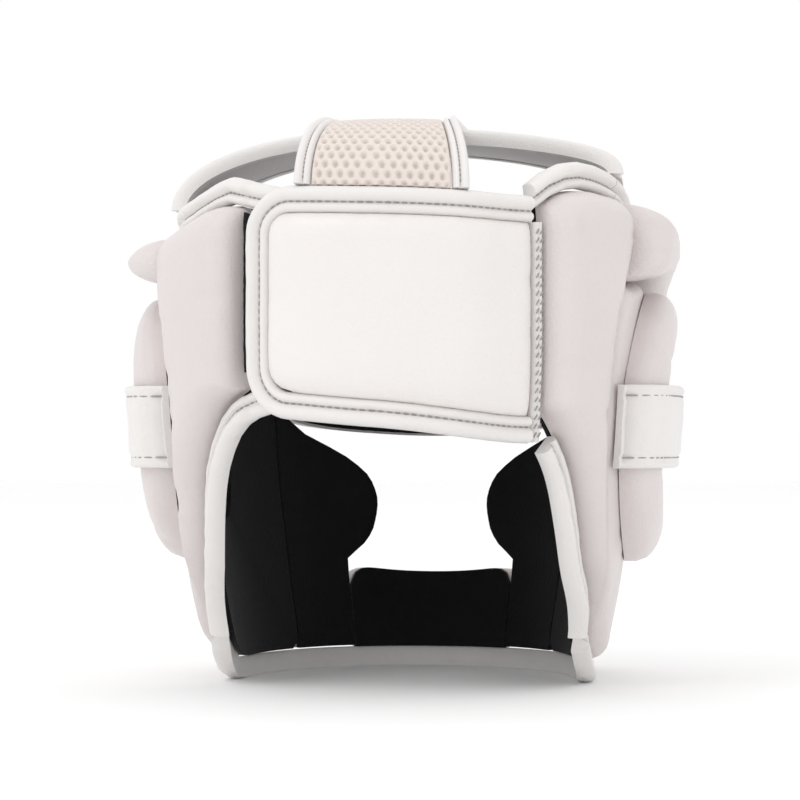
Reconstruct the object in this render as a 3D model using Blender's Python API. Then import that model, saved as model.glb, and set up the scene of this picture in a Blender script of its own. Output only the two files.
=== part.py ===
# Full-face boxing headgear, standing on the lower edge of its chin bar.
# The face looks along +Y, the closure flap is at the back, the floor is at Z = 0, and sizes are in metres.
# Every wall piece is drawn as a flat pattern, along the wall from the middle of the face and up from the
# floor, and is then wrapped round the hollow for the head.
import math

import bmesh
import bpy

# The hollow for the head, and the height of the wall
HEAD_WIDTH = 0.180
HEAD_LENGTH = 0.193
WALL_HEIGHT = 0.221
CROWN_RISE = 0.0175

# Thicknesses
LINING_THICK = 0.002
BROW_THICK = 0.028
CHEEK_THICK = 0.028
CHIN_THICK = 0.025
REAR_THICK = 0.018
EAR_THICK = 0.012
GUARD_THICK = 0.014
EAR_BAND_THICK = 0.003
FLAP_THICK = 0.009
UNDER_FLAP_THICK = 0.004
LOOP_THICK = 0.0015
CROWN_THICK = 0.005
STRAP_THICK = 0.003
BINDING_THICK = 0.008

# Widths
BINDING_WIDTH = 0.0105
HEM_WIDTH = 0.009
SEAM_WIDTH = 0.006
CROWN_WIDTH = 0.046
CROWN_BINDING_WIDTH = 0.006
STRAP_BINDING_WIDTH = 0.0068
STRAP_WIDTH_LOW = 0.0555
STRAP_WIDTH_TOP = 0.042
GUARD_WIDTH = 0.028
EAR_BAND_WIDTH = 0.035
EAR_BAND_FOOT = 0.006
EAR_HOLE_WIDTH = 0.030
EAR_HOLE_HEIGHT = 0.056
LOOP_MARGIN = 0.008

# Rounding
FLAP_CORNER = 0.020
SOFT_EDGE = 0.005
PUFF = 0.014
PLAN_POWER = 0.92

# Clearances: between faces that rest on each other, between pads that are sewn side by side, and behind a pad
GAP = 0.0004
SEAM_GAP = 0.0011
LINING_GAP = 0.0008

# Spacing of the facets
STEP = 0.014
FINE_STEP = 0.012

# The plan of the hollow, from the floor up. Height is a share of the wall height, width a share of half the
# head's width, front and back are shares of half its length.
PLAN = (
    # height, width, front, back
    (0.00, 0.80, 0.95, 0.78),
    (0.22, 0.88, 0.98, 0.88),
    (0.45, 0.96, 1.00, 0.96),
    (0.68, 0.99, 1.00, 1.01),
    (0.88, 0.99, 0.97, 1.01),
    (1.00, 0.95, 0.92, 0.98),
)

# The upper rim of the wall. Along is a share of the half girth, the heights are shares of the wall height.
RIM = (
    # along, left, right
    (0.00, 0.895, 0.895),
    (0.20, 0.895, 0.900),
    (0.36, 0.900, 0.930),
    (0.50, 0.915, 0.965),
    (0.59, 0.928, 0.990),
    (0.68, 0.940, 1.000),
    (0.73, 0.955, 0.990),
    (0.785, 0.970, 0.950),
    (0.83, 0.955, 0.930),
    (1.00, 0.920, 0.920),
)

# The lower rim, flat on the floor as far back as the ears.
HEM = (
    # along, height
    (0.00, 0.000),
    (0.46, 0.000),
    (0.52, 0.022),
    (0.57, 0.058),
    (0.62, 0.112),
    (1.00, 0.200),
)
HEM_END = 0.583

# The neck opening's edge, from the rear corner up to the flap.
NECK = (
    # height, along
    (0.10, 0.610),
    (0.145, 0.626),
    (0.225, 0.672),
    (0.315, 0.706),
    (0.415, 0.742),
    (0.475, 0.775),
    (0.505, 0.800),
    (0.525, 0.835),
)
NECK_END_RIGHT = 0.455

# The brow pad's lower edge, over the eyes and then up and over the ear.
BROW_EDGE = (
    # along, height
    (0.00, 0.486),
    (0.10, 0.492),
    (0.19, 0.504),
    (0.26, 0.530),
    (0.305, 0.610),
    (0.36, 0.715),
    (0.42, 0.780),
    (0.48, 0.795),
    (0.58, 0.780),
    (1.00, 0.780),
)

# Where the ear panel meets the rear panel.
EAR_BACK = (
    # height, along
    (0.00, 0.560),
    (0.12, 0.570),
    (0.25, 0.612),
    (0.40, 0.648),
    (0.52, 0.656),
    (0.65, 0.645),
    (0.78, 0.615),
    (0.90, 0.590),
    (1.00, 0.580),
)

# The cheek pad's front edge: the join with the chin bar, the round lobe, and the lower lid of the eye opening.
LOBE = (
    # height, along
    (0.000, 0.150),
    (0.228, 0.150),
    (0.255, 0.120),
    (0.295, 0.097),
    (0.350, 0.088),
    (0.395, 0.098),
    (0.435, 0.130),
    (0.465, 0.172),
    (0.490, 0.215),
    (0.520, 0.262),
    (0.560, 0.270),
)

# The closure flap and what lies under it. Along is a share of the half girth from the middle of the back,
# minus to the left; heights are shares of the wall height.
FLAP_LEFT = -0.158
FLAP_SEAM = 0.215
UNDER_FLAP_LEFT = -0.185
UNDER_FLAP_RIGHT = 0.085
FLAP_EDGES = (
    # along, low, high
    (-0.185, 0.525, 0.945),
    (0.00, 0.505, 0.938),
    (0.215, 0.475, 0.928),
)
UNDER_FLAP_LOW = 0.540
LOOP_LOW = 0.605

EAR_MIDDLE = 0.467
EAR_FRONT = 0.283
GUARD_MIDDLE = 0.505
GUARD_HALF_WIDTH = 0.155
GUARD_HALF_HEIGHT = 0.265
EAR_HOLE_MIDDLE = 0.445
CHIN_TOP = 0.200
CHIN_DIP = 0.018
CHIN_CORNER = 0.050

# The crown strap: its middle on the flap, to the right of the middle of the back, and how strongly its side
# view bows, as shares of its rise and of its run. Climb is the share of its length that rises to the crown band.
STRAP_MIDDLE = 0.004
STRAP_LIFT = 0.75
STRAP_REACH = 0.55
STRAP_CLIMB = 0.72

# Half the way round the wall, measured a little outside the hollow, and the places along it of the closure.
GIRTH_OUT = 0.0143
HALF_GIRTH = math.pi * ((HEAD_WIDTH + HEAD_LENGTH) / 4 + GIRTH_OUT)
UNDER_FLAP_START = -HALF_GIRTH * (1 + UNDER_FLAP_LEFT)
UNDER_FLAP_END = -HALF_GIRTH * (1 + UNDER_FLAP_RIGHT)
FLAP_START = -HALF_GIRTH * (1 + FLAP_LEFT)
FLAP_END = -HALF_GIRTH * (1 + FLAP_SEAM)
PAD_BASE = LINING_THICK + LINING_GAP
LOOP_BASE = PAD_BASE + UNDER_FLAP_THICK + GAP
FLAP_BASE = LOOP_BASE + LOOP_THICK + GAP
UNDER_BINDING_THICK = FLAP_BASE - PAD_BASE - GAP
TURN_STEP = 0.03
EAR_SIDES = 40
GUARD_SHARES = (0.0, 0.1, 0.33)
NECK_STEPS = 24
CROWN_STEPS = 20
STRAP_STEPS = 14

WHITE = (0.80, 0.76, 0.75, 1.0)
CREAM = (0.78, 0.72, 0.67, 1.0)
BLACK = (0.006, 0.006, 0.008, 1.0)


def clear_scene():
    for thing in list(bpy.data.objects):
        bpy.data.objects.remove(thing, do_unlink=True)


def make_material(name, colour, roughness):
    material = bpy.data.materials.new(name)
    material.use_nodes = True
    shader = material.node_tree.nodes["Principled BSDF"]
    shader.inputs["Base Color"].default_value = colour
    shader.inputs["Roughness"].default_value = roughness
    shader.inputs["Metallic"].default_value = 0.0
    return material


def read_table(table, value, column):
    """A smooth curve through a table's rows, by its first column."""
    if value <= table[0][0]:
        return table[0][column]
    if value >= table[-1][0]:
        return table[-1][column]
    row = 0
    while table[row + 1][0] < value:
        row += 1
    before = table[max(row - 1, 0)]
    start = table[row]
    end = table[row + 1]
    after = table[min(row + 2, len(table) - 1)]
    span = end[0] - start[0]
    share = (value - start[0]) / span
    slope_start = slope_between(before, start, end, column) * span
    slope_end = slope_between(start, end, after, column) * span
    square = share * share
    cube = square * share
    return (
        (2 * cube - 3 * square + 1) * start[column]
        + (cube - 2 * square + share) * slope_start
        + (3 * square - 2 * cube) * end[column]
        + (cube - square) * slope_end
    )


def slope_between(before, middle, after, column):
    """The slope at a row, flat at a high or low point so that the curve never overshoots."""
    rise_in = middle[column] - before[column]
    rise_out = after[column] - middle[column]
    if rise_in * rise_out <= 0:
        return 0.0
    slope_in = rise_in / (middle[0] - before[0])
    slope_out = rise_out / (after[0] - middle[0])
    return 2 * slope_in * slope_out / (slope_in + slope_out)


def mix(start, end, share):
    return start + (end - start) * share


def plan_point(turn, height):
    share = height / WALL_HEIGHT
    half_width = HEAD_WIDTH / 2 * read_table(PLAN, share, 1)
    side = math.sin(turn)
    ahead = math.cos(turn)
    depth_column = 2 if ahead > 0 else 3
    half_length = HEAD_LENGTH / 2 * read_table(PLAN, share, depth_column)
    x = half_width * math.copysign(abs(side) ** PLAN_POWER, side)
    y = half_length * math.copysign(abs(ahead) ** PLAN_POWER, ahead)
    return x, y


def wall(along, height, out):
    """The point that lies so far along the wall, so high, and so far out from the hollow."""
    turn = along / HALF_GIRTH * math.pi
    x, y = plan_point(turn, height)
    before = plan_point(turn - TURN_STEP, height)
    after = plan_point(turn + TURN_STEP, height)
    run_x = after[0] - before[0]
    run_y = after[1] - before[1]
    length = math.hypot(run_x, run_y)
    return (x - run_y / length * out, y + run_x / length * out, height)


def rim_height(along):
    column = 2 if along > 0 else 1
    return WALL_HEIGHT * read_table(RIM, abs(along) / HALF_GIRTH, column)


def hem_height(along):
    return WALL_HEIGHT * read_table(HEM, abs(along) / HALF_GIRTH, 1)


def brow_edge_height(along):
    return WALL_HEIGHT * read_table(BROW_EDGE, abs(along) / HALF_GIRTH, 1)


def neck_along(height):
    return HALF_GIRTH * read_table(NECK, height / WALL_HEIGHT, 1)


def offset_path(path, distance):
    """The path moved sideways, to its left as it is walked."""
    moved = []
    for place, (along, height) in enumerate(path):
        before = path[max(place - 1, 0)]
        after = path[min(place + 1, len(path) - 1)]
        run = (after[0] - before[0], after[1] - before[1])
        length = math.hypot(*run)
        moved.append((along - run[1] / length * distance, height + run[0] / length * distance))
    return moved


def neck_path(last):
    """The neck opening's edge from the rear corner up to a share of the wall height."""
    first = NECK[0][0]
    heights = [WALL_HEIGHT * mix(first, last, i / NECK_STEPS) for i in range(NECK_STEPS + 1)]
    return [(neck_along(height), height) for height in heights]


def neck_inner_along(height):
    """Where the panels end beside the neck binding."""
    inner = offset_path(neck_path(NECK[-1][0]), BINDING_WIDTH + 2 * SEAM_GAP)
    for start, end in zip(inner, inner[1:]):
        if start[1] <= height <= end[1]:
            return mix(start[0], end[0], (height - start[1]) / (end[1] - start[1]))
    return inner[0][0] if height < inner[0][1] else HALF_GIRTH


def ear_back_along(height):
    return HALF_GIRTH * read_table(EAR_BACK, height / WALL_HEIGHT, 1)


def lobe_along(height):
    return HALF_GIRTH * read_table(LOBE, height / WALL_HEIGHT, 1)


def flap_low(along):
    return WALL_HEIGHT * read_table(FLAP_EDGES, from_back(along) / HALF_GIRTH, 1)


def flap_high(along):
    return WALL_HEIGHT * read_table(FLAP_EDGES, from_back(along) / HALF_GIRTH, 2)


def from_back(along):
    """The way along the wall measured from the middle of the back, minus to the left."""
    return HALF_GIRTH - along if along > 0 else -HALF_GIRTH - along


def soft_shares(length, edge, step):
    """Places from 0 to 1 with short cells at both ends, where a pad rolls over its edge."""
    edge = min(edge, length * 0.4)
    rolls = [0.0, 0.25 * edge / length, edge / length]
    count = max(1, round((length - 2 * edge) / step))
    middle = [mix(rolls[-1], 1 - rolls[-1], i / count) for i in range(1, count)]
    return rolls + middle + [1 - place for place in reversed(rolls)]


def even_shares(length, step):
    count = max(1, round(length / step))
    return [i / count for i in range(count + 1)]


def roll(distance, edge):
    """How far a rounded edge has risen at a distance from it, from 0 to 1."""
    share = min(max(distance / edge, 0.0), 1.0)
    return math.sqrt(1 - (1 - share) ** 2)


def add_object(name, points, faces, material):
    mesh = bpy.data.meshes.new(name)
    mesh.from_pydata(points, [], faces)
    mesh.materials.append(material)
    shape = bmesh.new()
    shape.from_mesh(mesh)
    bmesh.ops.recalc_face_normals(shape, faces=shape.faces)
    if shape.calc_volume(signed=True) < 0:
        bmesh.ops.reverse_faces(shape, faces=shape.faces)
    shape.to_mesh(mesh)
    shape.free()
    mesh.shade_smooth()
    mesh.set_sharp_from_angle(angle=math.radians(40))
    thing = bpy.data.objects.new(name, mesh)
    bpy.context.scene.collection.objects.link(thing)
    thing.parent = bpy.data.objects["headgear"]
    return thing


def add_slab(name, material, inner, outer):
    """A closed pad from two grids of points of one size, its inner and its outer face."""
    columns = len(inner)
    rows = len(inner[0])
    points = [point for line in inner for point in line] + [point for line in outer for point in line]
    count = columns * rows
    faces = []
    for i in range(columns - 1):
        for j in range(rows - 1):
            corner = i * rows + j
            quad = (corner, corner + 1, corner + rows + 1, corner + rows)
            faces.append(quad)
            faces.append(tuple(count + place for place in reversed(quad)))
    border = [i * rows for i in range(columns)]
    border += [(columns - 1) * rows + j for j in range(1, rows)]
    border += [i * rows + rows - 1 for i in range(columns - 2, -1, -1)]
    border += list(range(rows - 2, 0, -1))
    for place, start in enumerate(border):
        end = border[(place + 1) % len(border)]
        faces.append((start, end, count + end, count + start))
    return add_object(name, points, faces, material)


def add_tube(name, material, sections, closed):
    """A closed body through sections of one size, joined end to end or capped."""
    size = len(sections[0])
    points = [point for section in sections for point in section]
    faces = []
    count = len(sections)
    for i in range(count if closed else count - 1):
        following = (i + 1) % count
        for j in range(size):
            beside = (j + 1) % size
            faces.append((i * size + j, i * size + beside, following * size + beside, following * size + j))
    if not closed:
        faces.append(tuple(range(size)))
        faces.append(tuple((count - 1) * size + j for j in reversed(range(size))))
    return add_object(name, points, faces, material)


def add_pad(name, material, front, back, low, high, base, thick, edge_thick=0.0, edge=PUFF, step=STEP):
    """A pad between two edges given by height and two given by the way along the wall."""
    middle = mix(low((front(WALL_HEIGHT / 2) + back(WALL_HEIGHT / 2)) / 2), WALL_HEIGHT / 2, 0.5)
    length = abs(back(middle) - front(middle))
    centre = (back(middle) + front(middle)) / 2
    height = high(centre) - low(centre)
    across = soft_shares(length, edge, step)
    upward = soft_shares(height, edge, step)
    inner = []
    outer = []
    for u in across:
        inner_line = []
        outer_line = []
        for v in upward:
            along, up = settle(front, back, low, high, u, v)
            width = abs(back(up) - front(up))
            tall = high(along) - low(along)
            rise = roll(min(u, 1 - u) * width, edge) * roll(min(v, 1 - v) * tall, edge)
            start = base(along) if callable(base) else base
            inner_line.append(wall(along, up, start))
            outer_line.append(wall(along, up, start + mix(edge_thick, thick, rise)))
        inner.append(inner_line)
        outer.append(outer_line)
    return add_slab(name, material, inner, outer)


def add_sheet(name, material, front, back, low, high, base, thick, step=STEP):
    """A thin sheet of even thickness between the same kinds of edges as a pad."""
    middle = WALL_HEIGHT / 2
    length = abs(back(middle) - front(middle))
    centre = (back(middle) + front(middle)) / 2
    across = even_shares(length, step)
    upward = even_shares(high(centre) - low(centre), step * 1.4)
    inner = []
    outer = []
    for u in across:
        places = [settle(front, back, low, high, u, v) for v in upward]
        inner.append([wall(along, up, base) for along, up in places])
        outer.append([wall(along, up, base + thick) for along, up in places])
    return add_slab(name, material, inner, outer)


def settle(front, back, low, high, u, v):
    """The place that lies a share of the way between both pairs of edges."""
    up = mix(low(0.5 * HALF_GIRTH), high(0.5 * HALF_GIRTH), v)
    along = mix(front(up), back(up), u)
    for _ in range(12):
        up = mix(low(along), high(along), v)
        along = mix(front(up), back(up), u)
    return along, mix(low(along), high(along), v)


def add_strip(name, material, path, width, base, thick, upright=False):
    """A rolled strip sewn along a path on the wall. Base and thick give its foot and its height by place.

    Its width is measured across the path, or straight up where it is upright.
    """
    sections = []
    for place, (along, height) in enumerate(path):
        before = path[max(place - 1, 0)]
        after = path[min(place + 1, len(path) - 1)]
        run = (after[0] - before[0], after[1] - before[1])
        length = math.hypot(*run)
        across = (0.0, 1.0) if upright else (-run[1] / length, run[0] / length)
        tall = thick(along)
        foot = base(along)
        profile = (
            (-0.50, 0.00),
            (-0.50, 0.66),
            (-0.30, 1.00),
            (0.25, 1.00),
            (0.50, 0.60),
            (0.50, 0.00),
        )
        sections.append(
            [wall(along + across[0] * width * side, height + across[1] * width * side, foot + tall * up)
             for side, up in profile]
        )
    return add_tube(name, material, sections, closed=False)


def even_path(path, step):
    """The path's points spaced out evenly."""
    lengths = [0.0]
    for start, end in zip(path, path[1:]):
        lengths.append(lengths[-1] + math.dist(start, end))
    count = max(2, round(lengths[-1] / step))
    even = []
    place = 0
    for i in range(count + 1):
        target = lengths[-1] * i / count
        while place < len(path) - 2 and lengths[place + 1] < target:
            place += 1
        share = (target - lengths[place]) / (lengths[place + 1] - lengths[place])
        even.append((mix(path[place][0], path[place + 1][0], share), mix(path[place][1], path[place + 1][1], share)))
    return even


def build_brow(white, black):
    def side(share):
        return lambda height: share * (ear_back_along(height) - SEAM_GAP / 2)

    def low(along):
        return brow_edge_height(along) + SEAM_GAP / 2

    def lining_low(along):
        return low(along) + SEAM_GAP

    def high(along):
        return rim_height(along) - BINDING_WIDTH - SEAM_GAP

    add_pad("brow_pad", white, side(-1), side(1), low, high, PAD_BASE, BROW_THICK, SOFT_EDGE)
    add_sheet("lining_brow", black, side(-1), side(1), lining_low, high, 0.0, LINING_THICK, STEP * 1.3)


def build_cheek(side_name, sign, white, black):
    def front(height):
        return sign * (lobe_along(height) + SEAM_GAP / 2)

    def back(height):
        return sign * (HALF_GIRTH * EAR_FRONT - SEAM_GAP / 2)

    def low(along):
        return hem_height(along) + HEM_WIDTH + SEAM_GAP

    def high(along):
        return brow_edge_height(along) - SEAM_GAP / 2

    add_pad(f"cheek_pad_{side_name}", white, front, back, low, high, PAD_BASE, CHEEK_THICK, SOFT_EDGE, step=0.010)
    add_sheet(f"lining_cheek_{side_name}", black, front, back, low, high, 0.0, LINING_THICK)


def build_chin(white, black):
    def side(sign):
        return lambda height: sign * (HALF_GIRTH * LOBE[0][1] - SEAM_GAP / 2)

    def low(along):
        return HEM_WIDTH + GAP

    def high(along):
        share = abs(along) / (HALF_GIRTH * LOBE[0][1])
        return WALL_HEIGHT * (CHIN_TOP + CHIN_DIP * share ** 2 - CHIN_CORNER * share ** 12)

    add_pad("chin_bar", white, side(-1), side(1), low, high, PAD_BASE, CHIN_THICK, SOFT_EDGE)
    add_sheet("lining_chin", black, side(-1), side(1), low, high, 0.0, LINING_THICK)


def ear_outline(sign):
    """The ear panel's outline as seen from its middle: the angle and the reach of each point."""
    centre = (HALF_GIRTH * EAR_MIDDLE, WALL_HEIGHT * GUARD_MIDDLE)

    def inside(along, height):
        return (
            HALF_GIRTH * EAR_FRONT + SEAM_GAP / 2 < along < ear_back_along(height) - SEAM_GAP / 2
            and hem_height(along) + HEM_WIDTH + SEAM_GAP < height < brow_edge_height(along) - SEAM_GAP / 2
        )

    points = []
    for place in range(EAR_SIDES):
        turn = 2 * math.pi * place / EAR_SIDES
        reach = 0.0
        jump = HALF_GIRTH
        while jump > 1e-6:
            tried = (centre[0] + math.cos(turn) * (reach + jump), centre[1] + math.sin(turn) * (reach + jump))
            if inside(*tried):
                reach += jump
            else:
                jump /= 2
        points.append((sign * (centre[0] + math.cos(turn) * reach), centre[1] + math.sin(turn) * reach))
    return points


def oval(sign, middle_along, middle_height, half_along, half_height):
    points = []
    for place in range(EAR_SIDES):
        turn = 2 * math.pi * place / EAR_SIDES
        along = sign * (middle_along + half_along * math.cos(turn))
        points.append((along, middle_height + half_height * math.sin(turn)))
    return points


def add_ring(name, material, outer_loop, inner_loop, base, profile):
    """A closed ring on the wall. The profile gives shares from the outer loop to the inner one, with heights."""
    sections = []
    for start, end in zip(outer_loop, inner_loop):
        section = [wall(mix(start[0], end[0], share), mix(start[1], end[1], share), base + height)
                   for share, height in profile]
        sections.append(section)
    return add_tube(name, material, sections, closed=True)


def build_ear(side_name, sign, white, black):
    outline = ear_outline(sign)
    middle = HALF_GIRTH * EAR_MIDDLE
    hole = oval(sign, middle, WALL_HEIGHT * EAR_HOLE_MIDDLE, EAR_HOLE_WIDTH / 2, EAR_HOLE_HEIGHT / 2)
    roll_share = 0.06
    panel = (
        (0.0, 0.0),
        (0.0, EAR_THICK * 0.55),
        (roll_share, EAR_THICK),
        (1 - roll_share, EAR_THICK),
        (1.0, EAR_THICK * 0.55),
        (1.0, 0.0),
        (0.5, 0.0),
    )
    add_ring(f"ear_base_{side_name}", white, outline, hole, PAD_BASE, panel)
    sheet = ((0.0, 0.0), (0.0, LINING_THICK), (0.5, LINING_THICK), (1.0, LINING_THICK), (1.0, 0.0), (0.5, 0.0))
    add_ring(f"lining_ear_{side_name}", black, outline, hole, 0.0, sheet)

    half_along = HALF_GIRTH * GUARD_HALF_WIDTH
    half_height = WALL_HEIGHT * GUARD_HALF_HEIGHT
    height = WALL_HEIGHT * GUARD_MIDDLE
    outer = oval(sign, middle, height, half_along, half_height)
    inner = oval(sign, middle, height, half_along - GUARD_WIDTH, half_height - GUARD_WIDTH)
    base = PAD_BASE + EAR_THICK + GAP
    shares = GUARD_SHARES + tuple(1 - share for share in reversed(GUARD_SHARES))
    profile = [(0.0, 0.0)] + [(share, GUARD_THICK * guard_rise(share)) for share in shares] + [(1.0, 0.0)]
    add_ring(f"ear_guard_{side_name}", white, outer, inner, base, profile)

    half_band = half_along + EAR_BAND_FOOT
    across = [-half_band, -half_along - 0.0012, -half_along - 0.0006]
    across += [-half_along + GUARD_WIDTH * share for share in GUARD_SHARES]
    across += [across[-1] * (1 - i / 5) for i in range(1, 5)]
    across = across + [0.0] + [-place for place in reversed(across)]
    low = height - EAR_BAND_WIDTH / 2
    upward = [low + EAR_BAND_WIDTH * share for share in (0.0, 0.5, 1.0)]
    lower_face = []
    upper_face = []
    for place in across:
        rise = base + GUARD_THICK * band_rise(place, half_along) + 2 * GAP
        lower_face.append([wall(sign * (middle + place), up, rise) for up in upward])
        upper_face.append([wall(sign * (middle + place), up, rise + EAR_BAND_THICK) for up in upward])
    add_slab(f"ear_band_{side_name}", white, lower_face, upper_face)


def guard_rise(share):
    """The ear guard's height, as a share of its thickness, across its width."""
    return 0.35 + 0.65 * math.sqrt(max(0.0, 1 - (2 * share - 1) ** 2))


def band_rise(place, half_along):
    """How far the ear band is lifted by the guard that it crosses, level over the guard's hollow."""
    inside = (half_along - abs(place)) / GUARD_WIDTH
    if inside < -0.03:
        return 0.0
    return guard_rise(min(max(inside, 0.0), 0.5))


def build_rear(side_name, sign, last, white, black):
    """A rear panel, from the ear panel to the place at the back where the closure starts."""

    def front(height):
        return sign * (ear_back_along(height) + SEAM_GAP / 2)

    def back(height):
        return sign * (min(last, neck_inner_along(height)) - GAP)

    def low(along):
        return hem_height(along) + HEM_WIDTH + SEAM_GAP

    def high(along):
        return rim_height(along) - BINDING_WIDTH - SEAM_GAP

    add_pad(f"rear_panel_{side_name}", white, front, back, low, high, PAD_BASE, REAR_THICK, SOFT_EDGE)
    add_sheet(f"lining_rear_{side_name}", black, front, back, low, high, 0.0, LINING_THICK)


def upright_path(first, last, height):
    """A path along the wall at a height that follows the place."""
    count = max(2, round(abs(last - first) / FINE_STEP))
    places = [mix(first, last, i / count) for i in range(count + 1)]
    return [(along, height(along)) for along in places]


def lay_on_wall(along):
    return PAD_BASE


def binding_thick(along):
    """A binding's height, kept low where the closure flap lies over it."""
    return UNDER_BINDING_THICK if along < UNDER_FLAP_START else BINDING_THICK


def build_bindings(white):
    brow_end = HALF_GIRTH * EAR_BACK[-1][1]

    def rim_middle(along):
        return rim_height(along) - BINDING_WIDTH / 2

    def hem_middle(along):
        return hem_height(along) + HEM_WIDTH / 2

    def under_flap_edge(along):
        return WALL_HEIGHT * UNDER_FLAP_LOW

    brow = upright_path(-brow_end + GAP, brow_end - GAP, rim_middle)
    add_strip("brow_binding", white, brow, BINDING_WIDTH, lay_on_wall, binding_thick, upright=True)
    hem = upright_path(-HALF_GIRTH * HEM_END, HALF_GIRTH * HEM_END, hem_middle)
    add_strip("hem_binding", white, hem, HEM_WIDTH, lay_on_wall, binding_thick, upright=True)
    left = upright_path(-brow_end - GAP, UNDER_FLAP_START, rim_middle)
    left += upright_path(UNDER_FLAP_START - 0.002, UNDER_FLAP_END, rim_middle)
    add_strip("top_binding_left", white, left, BINDING_WIDTH, lay_on_wall, binding_thick, upright=True)
    right = upright_path(brow_end + GAP, HALF_GIRTH * (1 - FLAP_SEAM), rim_middle)
    add_strip("top_binding_right", white, right, BINDING_WIDTH, lay_on_wall, binding_thick, upright=True)

    edge = neck_path(NECK_END_RIGHT)
    middle = even_path(offset_path(edge, BINDING_WIDTH / 2), FINE_STEP)
    add_strip("neck_binding_right", white, middle, BINDING_WIDTH, lay_on_wall, binding_thick)
    edge = [(-along, height) for along, height in neck_path(NECK[-1][0])]
    edge.append((-HALF_GIRTH * 0.88, WALL_HEIGHT * (UNDER_FLAP_LOW - 0.004)))
    edge += upright_path(-HALF_GIRTH * 0.93, UNDER_FLAP_END, under_flap_edge)
    middle = even_path(offset_path(edge, -BINDING_WIDTH / 2), FINE_STEP * 0.8)
    add_strip("neck_binding_left", white, middle, BINDING_WIDTH, lay_on_wall, binding_thick)


def flap_base(along):
    """The flap's inner face: over the under flap, and down to the wall at the seam."""
    share = (along - UNDER_FLAP_END + 0.004) / (FLAP_END - UNDER_FLAP_END + 0.012)
    share = min(max(share, 0.0), 1.0)
    ease = share * share * (3 - 2 * share)
    return mix(FLAP_BASE, PAD_BASE, ease)


def build_closure(white, black):
    def under_left(height):
        return UNDER_FLAP_START - GAP

    def under_right(height):
        return UNDER_FLAP_END

    def under_low(along):
        return WALL_HEIGHT * UNDER_FLAP_LOW + BINDING_WIDTH + GAP

    def under_high(along):
        return rim_height(along) - BINDING_WIDTH - SEAM_GAP

    add_sheet("under_flap", white, under_left, under_right, under_low, under_high, PAD_BASE, UNDER_FLAP_THICK, FINE_STEP)
    add_sheet("lining_back", black, under_left, under_right, under_low, under_high, 0.0, LINING_THICK)

    def loop_left(height):
        return under_left(height) - 0.001

    def loop_right(height):
        return under_right(height) + LOOP_MARGIN

    def loop_low(along):
        return WALL_HEIGHT * LOOP_LOW

    def loop_high(along):
        return under_high(along) - 0.001

    add_sheet("loop_patch", black, loop_left, loop_right, loop_low, loop_high, LOOP_BASE, LOOP_THICK, FINE_STEP)

    rim = BINDING_WIDTH + SEAM_GAP
    corner = FLAP_CORNER - BINDING_WIDTH

    def flap_left(height):
        from_end = min(flap_high(FLAP_START) - height, height - flap_low(FLAP_START)) - rim
        from_end = min(max(from_end, 0.0), corner)
        return FLAP_START - rim - corner + math.sqrt(corner ** 2 - (corner - from_end) ** 2)

    def flap_right(height):
        return FLAP_END + GAP

    def low(along):
        return flap_low(along) + rim

    def high(along):
        return flap_high(along) - rim

    add_pad("closure_flap", white, flap_left, flap_right, low, high, flap_base, FLAP_THICK, SOFT_EDGE, PUFF * 0.7)

    path = [(FLAP_END + GAP, flap_low(FLAP_END) + BINDING_WIDTH / 2)]
    turn_radius = FLAP_CORNER - BINDING_WIDTH / 2
    turn_along = FLAP_START - FLAP_CORNER
    low_middle = flap_low(turn_along) + FLAP_CORNER
    high_middle = flap_high(turn_along) - FLAP_CORNER
    path += upright_path(FLAP_END + 0.01, turn_along - 0.002, lambda along: flap_low(along) + BINDING_WIDTH / 2)
    for i in range(7):
        turn = math.pi / 2 * i / 6
        path.append((turn_along + turn_radius * math.sin(turn), low_middle - turn_radius * math.cos(turn)))
    for i in range(7):
        turn = math.pi / 2 * i / 6
        path.append((turn_along + turn_radius * math.cos(turn), high_middle + turn_radius * math.sin(turn)))
    path += upright_path(turn_along - 0.002, FLAP_END + 0.01, lambda along: flap_high(along) - BINDING_WIDTH / 2)
    path.append((FLAP_END + GAP, flap_high(FLAP_END) - BINDING_WIDTH / 2))
    path = even_path(path, FINE_STEP * 0.8)
    add_strip("flap_binding", white, path, BINDING_WIDTH, flap_base, lambda along: BINDING_THICK)

    seam_place = FLAP_END - SEAM_WIDTH / 2
    bottom = flap_low(FLAP_END)
    top = flap_high(FLAP_END) - BINDING_WIDTH
    heights = [mix(bottom, top, i / 10) for i in range(11)]
    path = [(seam_place, height) for height in heights]
    add_strip("flap_seam", white, path, SEAM_WIDTH - 2 * GAP, lay_on_wall, lambda along: SOFT_EDGE)


def crown_ends():
    """The crown band's half width over the ears, from the middle of the bindings that carry it."""
    foot = PAD_BASE + BINDING_THICK / 2 - CROWN_THICK / 2
    right = wall(HALF_GIRTH / 2, rim_height(HALF_GIRTH / 2), foot)[0]
    left = -wall(-HALF_GIRTH / 2, rim_height(-HALF_GIRTH / 2), foot)[0]
    return left, right


def crown_point(turn, y, out):
    """A point of the arch over the head, from over the right ear at no turn to over the left one."""
    left, right = crown_ends()
    half_width = right if turn < math.pi / 2 else left
    foot_right = rim_height(HALF_GIRTH / 2 - y) + GAP
    foot_left = rim_height(-HALF_GIRTH / 2 + y) + GAP
    share = (1 - math.cos(turn)) / 2
    foot = mix(foot_right, foot_left, share)
    rise = WALL_HEIGHT + CROWN_RISE - CROWN_THICK - foot
    x = half_width * math.cos(turn)
    z = foot + rise * math.sin(turn)
    slope = (math.cos(turn) / half_width, math.sin(turn) / rise)
    length = math.hypot(*slope)
    return (x + slope[0] / length * out, y, z + slope[1] / length * out)


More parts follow.
